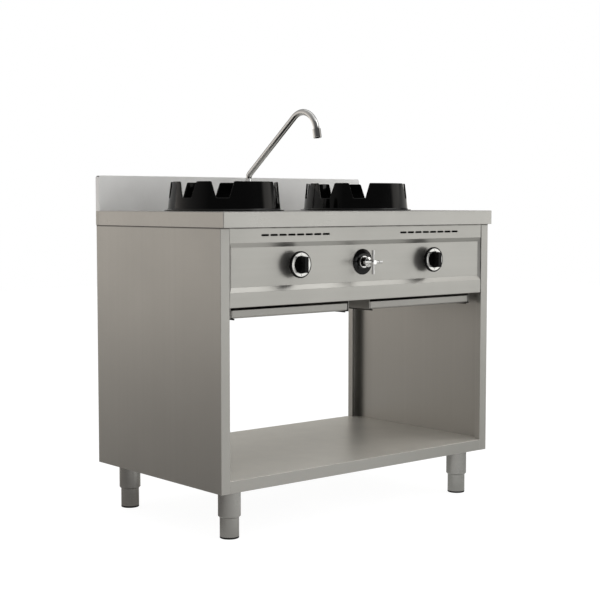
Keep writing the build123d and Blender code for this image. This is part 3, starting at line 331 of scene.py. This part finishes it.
def join_pieces(pieces, name):
    """Joins several objects into one piece."""
    select_none()
    for piece in pieces:
        piece.select_set(True)
    bpy.context.view_layer.objects.active = pieces[0]
    bpy.ops.object.join()
    return settle(bpy.context.object, name)


def pan_head_screw(x, y, z):
    """A domed head facing the back, with a cross-shaped recess."""
    select_none()
    bpy.ops.mesh.primitive_cylinder_add(vertices=32, radius=screw_radius, depth=screw_height,
                                        location=(x, y + screw_height / 2, z),
                                        rotation=(-pi / 2, 0, 0))
    head = bpy.context.object
    bpy.ops.object.mode_set(mode="EDIT")
    pick_faces(head, lambda centre, normal: normal.z > 0.9)
    bpy.ops.mesh.bevel(offset=screw_height * 0.55, segments=4, profile=0.6)
    bpy.ops.object.mode_set(mode="OBJECT")
    for turn in (0, pi / 2):
        bpy.ops.mesh.primitive_cube_add(size=1, location=(x, y + screw_height, z),
                                        rotation=(0, turn, 0),
                                        scale=(screw_radius * 1.1, 2 * screw_recess, screw_slot))
        cutter = bpy.context.object
        slot = head.modifiers.new("slot", "BOOLEAN")
        slot.operation = "DIFFERENCE"
        slot.object = cutter
        bpy.context.view_layer.objects.active = head
        bpy.ops.object.modifier_apply(modifier="slot")
        bpy.data.objects.remove(cutter)
    bpy.ops.object.shade_smooth_by_angle(angle=radians(35))
    return head


screw_steel, screw_tree, screw_surface = open_material("screw_zinc", (0.56, 0.56, 0.54), 1.0, 0.3)
vary(screw_tree, object_noise(screw_tree, 900.0, 3.0), (0.3, 0.7), (0.22, 0.42),
     screw_surface.inputs["Roughness"])

rear_low, rear_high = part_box("rear_panel")
screw_rows = [rear_low.z + screw_inset, rear_high.z - 2 * screw_inset]
screw_span = rear_high.x - rear_low.x - 2 * screw_side
screw_columns = [rear_low.x + screw_side + step * screw_span / screw_steps
                 for step in range(screw_steps + 1)]
screws = [pan_head_screw(x, rear_high.y, z) for x in screw_columns for z in screw_rows]
rear_screws = join_pieces(screws, "rear_panel_screws")
rear_screws.data.materials.append(screw_steel)
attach(rear_screws, "cabinet")

# ---- Vent baffles ----
# A strip of black sheet hangs behind each row of slots, spot-welded under the panel's top
# flange, so that nothing falls through to the burners; its black is painted shade in the slots.

baffle_half = 0.136
baffle_gap = 0.013
baffle_top = 0.0016
baffle_drop = 0.034
baffle_fold = 0.010
baffle_hem = 0.004
baffle_sheet = 0.0008
edge_reach = 0.001


def pick_edges(piece, test):
    """In edit mode, selects just the edges whose middle passes the test."""
    bpy.ops.object.mode_set(mode="OBJECT")
    for part in (piece.data.vertices, piece.data.edges, piece.data.polygons):
        part.foreach_set("select", [False] * len(part))
    for edge in piece.data.edges:
        ends = [piece.data.vertices[index] for index in edge.vertices]
        if test((ends[0].co + ends[1].co) / 2):
            edge.select = ends[0].select = ends[1].select = True
    bpy.ops.object.mode_set(mode="EDIT")
    bpy.ops.mesh.select_mode(type="EDGE")


def finish_sheet(piece, thickness, edge_radius):
    """Gives a folded sheet its thickness and soft edges."""
    bpy.ops.object.mode_set(mode="EDIT")
    bpy.ops.mesh.select_all(action="SELECT")
    bpy.ops.mesh.remove_doubles(threshold=1e-6)
    bpy.ops.mesh.normals_make_consistent(inside=False)
    bpy.ops.object.mode_set(mode="OBJECT")
    wall = piece.modifiers.new("wall", "SOLIDIFY")
    wall.thickness = thickness
    wall.offset = 0.0
    soft = piece.modifiers.new("soft_edges", "BEVEL")
    soft.width = edge_radius
    soft.segments = 2
    for step in ("wall", "soft_edges"):
        bpy.ops.object.modifier_apply(modifier=step)


def vent_shade_baffle(side):
    """A folded near-black strip behind the slots above one knob, painted shade in the slots."""
    panel_low, panel_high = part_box("control_panel")
    cap_low, cap_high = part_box(side + "_burner_cap")
    back = panel_low.y + baffle_gap
    top = panel_high.z - baffle_top
    select_none()
    middle = (cap_low.x + cap_high.x) / 2
    bpy.ops.mesh.primitive_plane_add(size=1, rotation=(pi / 2, 0, 0),
                                     location=(middle, back, top - baffle_drop / 2))
    bpy.context.object.scale = (2 * baffle_half, baffle_drop, 1)
    strip = settle(bpy.context.object, side + "_vent_shade_baffle")
    pick_edges(strip, lambda centre: centre.z > top - edge_reach)
    bpy.ops.mesh.extrude_region_move(TRANSFORM_OT_translate={"value": (0, baffle_fold, 0)})
    pick_edges(strip, lambda centre: centre.z < top - baffle_drop + edge_reach)
    bpy.ops.mesh.extrude_region_move(
        TRANSFORM_OT_translate={"value": (0, baffle_hem, baffle_hem / 3)})
    finish_sheet(strip, baffle_sheet, baffle_sheet * 0.3)
    strip.data.materials.append(baffle_painted_shade)
    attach(strip, "cabinet")


# Near-black sheet, painted shade seen through the slots; its tone varies a little at random.
baffle_painted_shade, baffle_tree, baffle_surface = open_material(
    "baffle_painted_shade", (0.004, 0.004, 0.004), 0.0, 0.8)
baffle_surface.inputs["Specular IOR Level"].default_value = 0.2
blend_tones(baffle_tree, object_noise(baffle_tree, 140.0, 4.0).outputs["Fac"],
            (0.003, 0.003, 0.003), (0.012, 0.010, 0.009), baffle_surface.inputs["Base Color"])
for side in ("left", "right"):
    vent_shade_baffle(side)

# ---- Drip trays and runners ----
# Pressed trays in Z-folded runners. The trays' lines run from front to back. The trays' floors
# are painted nearly black as painted shade, and so are the runners' lips below them.

tray_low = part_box("left_drip_tray")[0].z
tray_painted_shade = (0.010, 0.008, 0.006)
tray_sheet = {"lines_along": "Y", "roughness": 0.38, "light": (0.40, 0.392, 0.372),
              "dark": (0.36, 0.352, 0.332)}
# The trays' up-facing floors and the runners' lips below the trays get a near-black tone: painted
# shade.
tray_steel_painted_shade = painted_tone_steel("steel_tray_painted_shade", "Normal", "Z", 0.5, 0.8, share=0.95, tone=tray_painted_shade,
                              metallic=0.0, dull=0.72, **tray_sheet)
runner_steel_painted_shade = painted_tone_steel("steel_runner_painted_shade", "Object", "Z", tray_low + 0.0010,
                                tray_low - 0.0002, share=0.95, tone=tray_painted_shade, metallic=0.0,
                                dull=0.72, **tray_sheet)
dress(tray_steel_painted_shade, "left_drip_tray", "right_drip_tray")
dress(runner_steel_painted_shade, "left_tray_runners", "right_tray_runners")

# ---- Legs ----
# Turned stainless sleeves with a welded top plate, and feet that screw out of them. The lathe
# leaves rings round them, and a rubber pad is pressed on below.

leg_steel = sheet_steel("steel_turned_legs", "X", roughness=0.25,
                        light=(0.42, 0.416, 0.400), dark=(0.37, 0.366, 0.352))
leg_lines = leg_steel.node_tree.nodes["Group"].inputs["Lines"]
leg_lines.default_value = (long_lines, long_lines, fine_lines)
corners = ["front_left", "front_right", "rear_left", "rear_right"]
dress(leg_steel, "leg_bolts",
      *[corner + part for corner in corners for part in ("_leg_sleeve", "_foot")])

pad_rubber, pad_tree, pad_surface = open_material("foot_rubber", (0.008, 0.008, 0.008), 0.0, 0.62)
pad_surface.inputs["Specular IOR Level"].default_value = 0.25
blend_tones(pad_tree, object_noise(pad_tree, 60.0, 4.0).outputs["Fac"],
            (0.004, 0.004, 0.004), (0.014, 0.013, 0.012), pad_surface.inputs["Base Color"])
emboss(pad_tree, object_noise(pad_tree, 700.0, 3.0), 0.35, 0.0001, pad_surface)
dress(pad_rubber, *[corner + "_foot_pad" for corner in corners])

# ---- Burners and caps ----
# Grey iron castings with a sand-cast skin, each with its mixing tube. Heat has browned the
# loose caps round their ports.

iron_grain = 420.0


def cast_skin_group():
    """A pitted casting skin: a colour between two tones, a roughness and a rough normal."""
    group, given, result = open_group(
        "cast_skin", {"Light": "Color", "Dark": "Color", "Grain": "Float", "Depth": "Float"},
        {"Colour": "Color", "Roughness": "Float", "Normal": "Vector"})
    place = node(group, "TexCoord")
    pits = node(group, "TexNoise", inputs={"Detail": 6.0, "Roughness": 0.68})
    stains = node(group, "TexNoise", inputs={"Scale": 26.0, "Detail": 4.0, "Roughness": 0.6})
    colour = node(group, "Mix", data_type="RGBA")
    rough = node(group, "MapRange", inputs={1: 0.3, 2: 0.7, 3: 0.5, 4: 0.78})
    edge = node(group, "Bevel", samples=4, inputs={"Radius": 0.0008})
    relief = node(group, "Bump", inputs={"Distance": 0.0002})
    join(group, (place.outputs["Object"], pits.inputs["Vector"]),
         (given.outputs["Grain"], pits.inputs["Scale"]),
         (place.outputs["Object"], stains.inputs["Vector"]),
         (stains.outputs["Fac"], colour.inputs[0]),
         (given.outputs["Dark"], colour.inputs[6]), (given.outputs["Light"], colour.inputs[7]),
         (stains.outputs["Fac"], rough.inputs[0]), (pits.outputs["Fac"], relief.inputs["Height"]),
         (given.outputs["Depth"], relief.inputs["Strength"]),
         (edge.outputs[0], relief.inputs["Normal"]),
         (colour.outputs[2], result.inputs["Colour"]),
         (rough.outputs[0], result.inputs["Roughness"]),
         (relief.outputs[0], result.inputs["Normal"]))
    return group


cast_skin = cast_skin_group()


def cast_iron(name, light, dark, depth):
    """Bare cast iron with a pitted skin in two tones."""
    material, tree, surface = open_material(name, light, 0.55, 0.62)
    skin = node(tree, "Group", node_tree=cast_skin)
    skin.inputs["Light"].default_value = (*light, 1.0)
    skin.inputs["Dark"].default_value = (*dark, 1.0)
    skin.inputs["Grain"].default_value = iron_grain
    skin.inputs["Depth"].default_value = depth
    join(tree, (skin.outputs["Colour"], surface.inputs["Base Color"]),
         (skin.outputs["Roughness"], surface.inputs["Roughness"]),
         (skin.outputs["Normal"], surface.inputs["Normal"]))
    return material


burner_iron = cast_iron("burner_iron", (0.12, 0.112, 0.104), (0.07, 0.064, 0.058), 0.5)
cap_iron = cast_iron("cap_iron", (0.13, 0.105, 0.085), (0.055, 0.045, 0.038), 0.35)
dress(burner_iron, "left_burner", "right_burner")
dress(cap_iron, "left_burner_cap", "right_burner_cap")

# ---- Gas line ----
# A zinc-plated manifold carries brass gas taps. Drawn tubes lead from them to the injectors,
# to the pilot burners and to the thermocouples.

manifold_zinc = cast_iron("manifold_zinc", (0.50, 0.50, 0.48), (0.40, 0.40, 0.385), 0.06)
manifold_zinc.node_tree.nodes["Principled BSDF"].inputs["Metallic"].default_value = 1.0


def drawn_tube(name, bright, dull, roughness):
    """Drawn metal with long faint stains from handling and soldering."""
    material, tree, surface = open_material(name, bright, 1.0, roughness)
    stain = object_noise(tree, 38.0, 5.0, 0.6)
    blend_tones(tree, stain.outputs["Fac"], dull, bright, surface.inputs["Base Color"])
    vary(tree, stain, (0.3, 0.7), (roughness + 0.12, roughness - 0.05),
         surface.inputs["Roughness"])
    return material


tap_brass = drawn_tube("tap_brass", (0.74, 0.55, 0.26), (0.50, 0.35, 0.15), 0.28)
supply_aluminium = drawn_tube("supply_aluminium", (0.75, 0.75, 0.76), (0.60, 0.60, 0.61), 0.25)
pipe_copper = drawn_tube("pipe_copper", (0.80, 0.44, 0.28), (0.52, 0.26, 0.16), 0.24)
dress(manifold_zinc, "gas_manifold")
dress(tap_brass, "left_gas_valve", "right_gas_valve", "left_valve_plug", "right_valve_plug",
      "pilot_burners", "tap_spindle")
dress(supply_aluminium, "left_supply_pipe", "right_supply_pipe")
dress(pipe_copper, "thermocouples", "water_inlet_pipe", "spout_feed_pipe")

# ---- Knobs ----
# Moulded black knobs with a grip bar across a disc. A satin metal ring lies in the disc, with a
# printed tick at the top, a round start mark beside it and two low-flame marks below.

knob_black, knob_tree, knob_surface = open_material(
    "knob_plastic", (0.003, 0.003, 0.003), 0.0, 0.24)
knob_surface.inputs["Specular IOR Level"].default_value = 0.11
vary(knob_tree, object_noise(knob_tree, 90.0, 4.0), (0.35, 0.7), (0.2, 0.34),
     knob_surface.inputs["Roughness"])
knob_edge = node(knob_tree, "Bevel", samples=4, inputs={"Radius": 0.0006})
knob_relief = emboss(knob_tree, object_noise(knob_tree, 1500.0, 2.0), 0.12, 0.00005, knob_surface)
join(knob_tree, (knob_edge.outputs[0], knob_relief.inputs["Normal"]))
dress(knob_black, "left_knob", "right_knob")

dial_metal = sheet_steel("dial_satin", "X", roughness=0.28,
                         light=(0.80, 0.795, 0.775), dark=(0.72, 0.715, 0.695))
dress(dial_metal, "left_knob_dial", "right_knob_dial")

mark_ink, ink_tree, ink_surface = open_material("dial_print", (0.02, 0.02, 0.022), 0.0, 0.5)
blend_tones(ink_tree, object_noise(ink_tree, 2500.0, 2.0).outputs["Fac"],
            (0.014, 0.014, 0.015), (0.035, 0.035, 0.037), ink_surface.inputs["Base Color"])

print_depth = 0.00012
mark_radius = 0.0275
start_dot_radius = 0.0017
# clock position in degrees from the top, then the tick's width and length
dial_ticks = [(0, 0.0010, 0.0042), (180, 0.0016, 0.0038), (222, 0.0009, 0.0028),
              (250, 0.0009, 0.0028)]
start_dot_turn = -42


def dial_marks(side):
    """The printed marks of one dial, on the body of its knob."""
    low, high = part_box(side + "_knob_dial")
    middle = (low + high) / 2

    def on_dial(angle):
        """The place on the dial at an angle from its top."""
        return (middle.x + mark_radius * sin(angle), low.y, middle.z + mark_radius * cos(angle))

    def printed_mark():
        """Softens the edges of the mark just added."""
        bpy.ops.object.mode_set(mode="EDIT")
        bpy.ops.mesh.bevel(offset=print_depth * 0.3, segments=1)
        bpy.ops.object.mode_set(mode="OBJECT")
        return bpy.context.object

    marks = []
    for turn, width, length in dial_ticks:
        select_none()
        angle = radians(turn)
        bpy.ops.mesh.primitive_cube_add(size=1, location=on_dial(angle), rotation=(0, angle, 0),
                                        scale=(width, print_depth, length))
        bpy.ops.object.transform_apply(location=False, rotation=False, scale=True)
        marks.append(printed_mark())
    select_none()
    bpy.ops.mesh.primitive_cylinder_add(vertices=24, radius=start_dot_radius, depth=print_depth,
                                        location=on_dial(radians(start_dot_turn)),
                                        rotation=(pi / 2, 0, 0))
    marks.append(printed_mark())
    piece = join_pieces(marks, side + "_dial_marks")
    piece.data.materials.append(mark_ink)
    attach(piece, side + "_gas_knob")


for side in ("left", "right"):
    dial_marks(side)

# ---- Water tap ----
# A glossy black flange and a chrome collar clamp the tap in the panel. The tap's nose between
# the collar and the chrome cross handle is painted dark, as painted shade in that recess.

flange_gloss, flange_tree, flange_surface = open_material(
    "flange_gloss", (0.002, 0.002, 0.002), 0.0, 0.10)
flange_surface.inputs["Specular IOR Level"].default_value = 0.3
vary(flange_tree, object_noise(flange_tree, 70.0, 4.0), (0.35, 0.7), (0.06, 0.14),
     flange_surface.inputs["Roughness"])
dress(flange_gloss, "tap_flange")

# Dark metal for the tap's nose: painted shade between the collar and the handle.
nose_painted_shade = drawn_tube("tap_nose_painted_shade", (0.060, 0.055, 0.050), (0.025, 0.022, 0.020), 0.35)
dress(nose_painted_shade, "tap_body")

chrome, chrome_tree, chrome_surface = open_material("chrome_plate", (0.77, 0.77, 0.765), 1.0, 0.07)
chrome_spots = object_noise(chrome_tree, 55.0, 5.0)
blend_tones(chrome_tree, chrome_spots.outputs["Fac"], (0.80, 0.80, 0.795), (0.70, 0.695, 0.68),
            chrome_surface.inputs["Base Color"])
vary(chrome_tree, chrome_spots, (0.4, 0.75), (0.03, 0.10), chrome_surface.inputs["Roughness"])
dress(chrome, "tap_collar", "cross_handle", "left_valve_spindle", "right_valve_spindle",
      "spout_base", "spout_locknut", "spout", "spout_aerator")

# ---- Worktop and splashback ----
# The worktop is one folded sheet with its lines across the range, its underside painted dark:
# painted shade. The splashback is folded separately and welded on; painted light makes it pale.

# The worktop's down-facing faces get a near-black tone: painted shade under the worktop.
worktop_steel_painted_shade = painted_tone_steel("steel_worktop_painted_shade", "Normal", "Z", -0.4, -0.8, share=0.94,
                             tone=(0.035, 0.032, 0.030), metallic=0.1, dull=0.6,
                             lines_along="X", roughness=0.30,
                             light=(0.458, 0.450, 0.428), dark=(0.418, 0.410, 0.388))
dress(worktop_steel_painted_shade, "worktop")
# Above the worktop, all but the splashback's back faces are painted pale: painted light.
splash_steel_painted_light = painted_tone_steel("steel_splashback_painted_light", "Normal", "Y", 0.6, 0.2, share=0.94,
                                tone=(0.83, 0.825, 0.81), metallic=0.18, dull=0.5, lines_along="X",
                                above=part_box("worktop")[1].z)
dress(splash_steel_painted_light, "splashback")

# ---- Burner bowls ----
# Pressed funnels that hang in the worktop's openings under the rings. They are enamelled black
# and dulled by soot.

bowl_enamel = cast_iron("bowl_enamel", (0.022, 0.021, 0.020), (0.010, 0.010, 0.010), 0.08)
bowl_enamel.node_tree.nodes["Principled BSDF"].inputs["Metallic"].default_value = 0.0
dress(bowl_enamel, "left_burner_bowl", "right_burner_bowl")

# ---- Wok rings ----
# Cast rings under thick black enamel. The enamel has a slight orange peel and thins to a dull
# brown along the tabs' upper edges, where woks rub it.

ring_enamel, ring_tree, ring_surface = open_material(
    "ring_enamel", (0.0015, 0.0015, 0.0015), 0.0, 0.09)
ring_surface.inputs["Specular IOR Level"].default_value = 0.5
ring_surface.inputs["IOR"].default_value = 1.40
ring_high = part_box("left_wok_ring")[1].z
rub_depth = 0.0022
ring_soot = object_noise(ring_tree, 18.0, 5.0)
ring_place = node(ring_tree, "TexCoord")
ring_axes = node(ring_tree, "SeparateXYZ")
ring_height = node(ring_tree, "MapRange",
                   inputs={1: ring_high - rub_depth, 2: ring_high, 3: 0.0, 4: 1.0})
ring_rub = node(ring_tree, "Math", operation="MULTIPLY")
join(ring_tree, (ring_place.outputs["Object"], ring_axes.inputs[0]),
     (ring_axes.outputs["Z"], ring_height.inputs[0]), (ring_height.outputs[0], ring_rub.inputs[0]))
vary(ring_tree, ring_soot, (0.45, 0.65), (0.0, 0.7), ring_rub.inputs[1])
vary(ring_tree, ring_soot, (0.35, 0.7), (0.05, 0.13), ring_surface.inputs["Roughness"])
blend_tones(ring_tree, ring_rub.outputs[0], (0.0015, 0.0015, 0.0015), (0.016, 0.014, 0.012),
            ring_surface.inputs["Base Color"])
emboss(ring_tree, object_noise(ring_tree, 260.0, 2.0), 0.10, 0.0002, ring_surface)
dress(ring_enamel, "left_wok_ring", "right_wok_ring")

# ---- Floor, cards and backdrop ----
# A pale floor that keeps a faint shadow, under an even white surround. Grey cards stand round
# the range out of sight, as in a studio, so that the bare metal has something to mirror.

floor_half = 9.0
floor_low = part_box("front_left_foot_pad")[0].z
floor_glow_share = 0.8
floor_glow_strength = 1.17


def straight_rays(tree):
    """One for rays from the camera, off a mirror or through glass, and zero for the others."""
    rays = node(tree, "LightPath")
    either = node(tree, "Math", operation="MAXIMUM")
    any_of_three = node(tree, "Math", operation="MAXIMUM")
    join(tree, (rays.outputs["Is Camera Ray"], either.inputs[0]),
         (rays.outputs["Is Glossy Ray"], either.inputs[1]),
         (either.outputs[0], any_of_three.inputs[0]),
         (rays.outputs["Is Transmission Ray"], any_of_three.inputs[1]))
    return any_of_three.outputs[0]


select_none()
bpy.ops.mesh.primitive_grid_add(x_subdivisions=4, y_subdivisions=4, size=2 * floor_half,
                                location=(0, 0, floor_low))
floor = settle(bpy.context.object, "studio_floor")
floor_paint, floor_tree, floor_surface = open_material("floor_paint", (0.86, 0.86, 0.855), 0.0, 0.7)
floor_share = node(floor_tree, "Math", operation="MULTIPLY", inputs={1: floor_glow_share})
floor_glow = node(floor_tree, "Emission",
                  inputs={"Color": (1, 1, 1, 1), "Strength": floor_glow_strength})
floor_mix = node(floor_tree, "MixShader")
join(floor_tree, (straight_rays(floor_tree), floor_share.inputs[0]),
     (floor_share.outputs[0], floor_mix.inputs[0]),
     (floor_surface.outputs[0], floor_mix.inputs[1]), (floor_glow.outputs[0], floor_mix.inputs[2]),
     (floor_mix.outputs[0], floor_tree.nodes["Material Output"].inputs["Surface"]))
floor.data.materials.append(floor_paint)

surround_radius = 6.0
wall_top = 1.5
band_top = 4.0
header_top = 8.7
ground_gap = 0.002
# turn from the front, positive to the right, and the tone seen there
wall_tones = [(-180, (0.98, 0.95, 0.90)), (-150, (0.94, 0.88, 0.815)), (-112, (0.80, 0.74, 0.69)),
              (-78, (0.36, 0.34, 0.32)), (-64, (0.40, 0.40, 0.40)), (-6, (0.40, 0.40, 0.40)),
              (10, (0.36, 0.36, 0.35)), (20, (1.41, 1.41, 1.38)), (57, (1.38, 1.38, 1.35)),
              (66, (0.42, 0.42, 0.41)), (110, (0.50, 0.49, 0.47)), (134, (1.10, 1.07, 1.00))]
band_tones = [(-180, (0.40, 0.39, 0.38)), (-150, (0.66, 0.62, 0.58)), (-112, (0.34, 0.33, 0.32)),
              (-70, (0.08, 0.08, 0.08)), (46, (0.08, 0.08, 0.08)), (54, (0.78, 0.75, 0.71)),
              (74, (0.78, 0.75, 0.71)), (82, (0.08, 0.08, 0.08)), (130, (0.16, 0.16, 0.16))]
header_tones = [(-180, (0.34, 0.34, 0.33)), (-150, (0.50, 0.48, 0.46)), (-112, (0.34, 0.33, 0.32)),
                (-70, (0.14, 0.14, 0.14)), (0, (0.14, 0.14, 0.14)), (26, (0.40, 0.40, 0.40)),
                (36, (2.10, 2.10, 2.06)), (70, (2.10, 2.10, 2.06)), (80, (0.40, 0.40, 0.40)),
                (144, (0.30, 0.30, 0.29))]
ground_tones = [(-180, (0.44, 0.42, 0.40)), (-153, (0.46, 0.44, 0.41)), (-132, (0.23, 0.215, 0.20)),
                (-90, (0.20, 0.19, 0.18)), (-62, (0.46, 0.45, 0.43)), (-20, (0.74, 0.73, 0.71)),
                (8, (0.76, 0.75, 0.73)), (36, (0.66, 0.66, 0.64)), (52, (0.52, 0.52, 0.50)),
                (80, (0.48, 0.48, 0.46)), (130, (0.34, 0.34, 0.33))]
ceiling_tones = [(-180, (0.40, 0.40, 0.39)), (-60, (0.40, 0.40, 0.39)), (20, (0.90, 0.90, 0.89)),
                 (90, (0.90, 0.90, 0.89))]


def round_card(piece, tones):
    """Gives a stage piece plain tones round the compass, seen only in reflections."""
    paper, tree, surface = open_material(piece.name, (0.5, 0.5, 0.5), 0.0, 0.9)
    place = node(tree, "TexCoord")
    compass = node(tree, "Mapping", inputs={"Rotation": (0, 0, pi / 2)})
    sweep = node(tree, "TexGradient", gradient_type="RADIAL")
    ramp = node(tree, "ValToRGB")
    while len(ramp.color_ramp.elements) < len(tones):
        ramp.color_ramp.elements.new(1.0)
    for element, (turn, tone) in zip(ramp.color_ramp.elements, tones):
        element.position = (turn + 180) / 360
        element.color = (*tone, 1.0)
    glow = node(tree, "Emission", inputs={"Strength": 1.0})
    join(tree, (place.outputs["Object"], compass.inputs[0]), (compass.outputs[0], sweep.inputs[0]),
         (sweep.outputs["Fac"], ramp.inputs[0]), (ramp.outputs[0], glow.inputs["Color"]),
         (glow.outputs[0], tree.nodes["Material Output"].inputs["Surface"]))
    piece.data.materials.append(paper)
    piece.visible_camera = False
    piece.visible_diffuse = False
    piece.visible_shadow = False
    piece.visible_transmission = False


for name, foot, top, tones in (("studio_wall", 0.0, wall_top, wall_tones),
                               ("studio_band", wall_top, band_top, band_tones),
                               ("studio_header", band_top, header_top, header_tones)):
    select_none()
    bpy.ops.mesh.primitive_cylinder_add(vertices=64, radius=surround_radius, depth=top - foot,
                                        end_fill_type="NOTHING", location=(0, 0, (foot + top) / 2))
    round_card(settle(bpy.context.object, name), tones)
for name, height, tones in (("studio_ground", floor_low + ground_gap, ground_tones),
                            ("studio_ceiling", header_top, ceiling_tones)):
    select_none()
    bpy.ops.mesh.primitive_circle_add(vertices=64, radius=surround_radius, fill_type="NGON",
                                      location=(0, 0, height))
    round_card(settle(bpy.context.object, name), tones)

# ---- Light ----
# An even surround, one wide soft lamp above and one to the front right. Both are kept at a plain
# level, so that colours come out about as they are written.

world = bpy.data.worlds.new("studio")
bpy.context.scene.world = world
world.use_nodes = True
sky_strength = 0.62
sky = world.node_tree
surround = sky.nodes["Background"]
surround.inputs["Color"].default_value = (1, 1, 1, 1)
surround.inputs["Strength"].default_value = sky_strength
white = node(sky, "Background", inputs={"Color": (1, 1, 1, 1), "Strength": 1.0})
pick = node(sky, "MixShader")
join(sky, (straight_rays(sky), pick.inputs[0]), (surround.outputs[0], pick.inputs[1]),
     (white.outputs[0], pick.inputs[2]),
     (pick.outputs[0], sky.nodes["World Output"].inputs["Surface"]))


def soft_lamp(name, place, aim, size, watts):
    """A square area lamp that looks at a point."""
    lamp = bpy.data.lights.new(name, "AREA")
    lamp.size = size
    lamp.energy = watts
    holder = bpy.data.objects.new(name, lamp)
    bpy.context.scene.collection.objects.link(holder)
    holder.location = place
    holder.rotation_euler = (Vector(aim) - Vector(place)).to_track_quat("-Z", "Y").to_euler()
    holder.visible_glossy = False


soft_lamp("lamp_above", (0.3, -0.4, 3.4), (0, 0, 0.7), 2.6, 30)
soft_lamp("lamp_front_right", (2.6, -2.6, 2.2), (0, 0, 0.6), 1.8, 22)

# ---- Camera ----
# Placed where the worktop's edges say the picture was taken from, measured from the middle of
# the worktop: to the left of it, in front and almost level with its top.

top_middle = Vector((0.0, (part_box("worktop")[0].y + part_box("splashback")[1].y) / 2, 0.0))
camera_from_middle = Vector((-2.501, -2.955, 0.871))
camera_azimuth = -40.30
camera_dip = 4.16
lens_millimetres = 79.67
camera_data = bpy.data.cameras.new("camera")
camera_data.lens = lens_millimetres
camera_data.sensor_width = 36.0
camera = bpy.data.objects.new("camera", camera_data)
camera.location = top_middle + camera_from_middle
camera.rotation_euler = (radians(90 - camera_dip), 0, radians(camera_azimuth))
bpy.context.scene.collection.objects.link(camera)
bpy.context.scene.camera = camera
bpy.context.scene.view_settings.view_transform = "Standard"
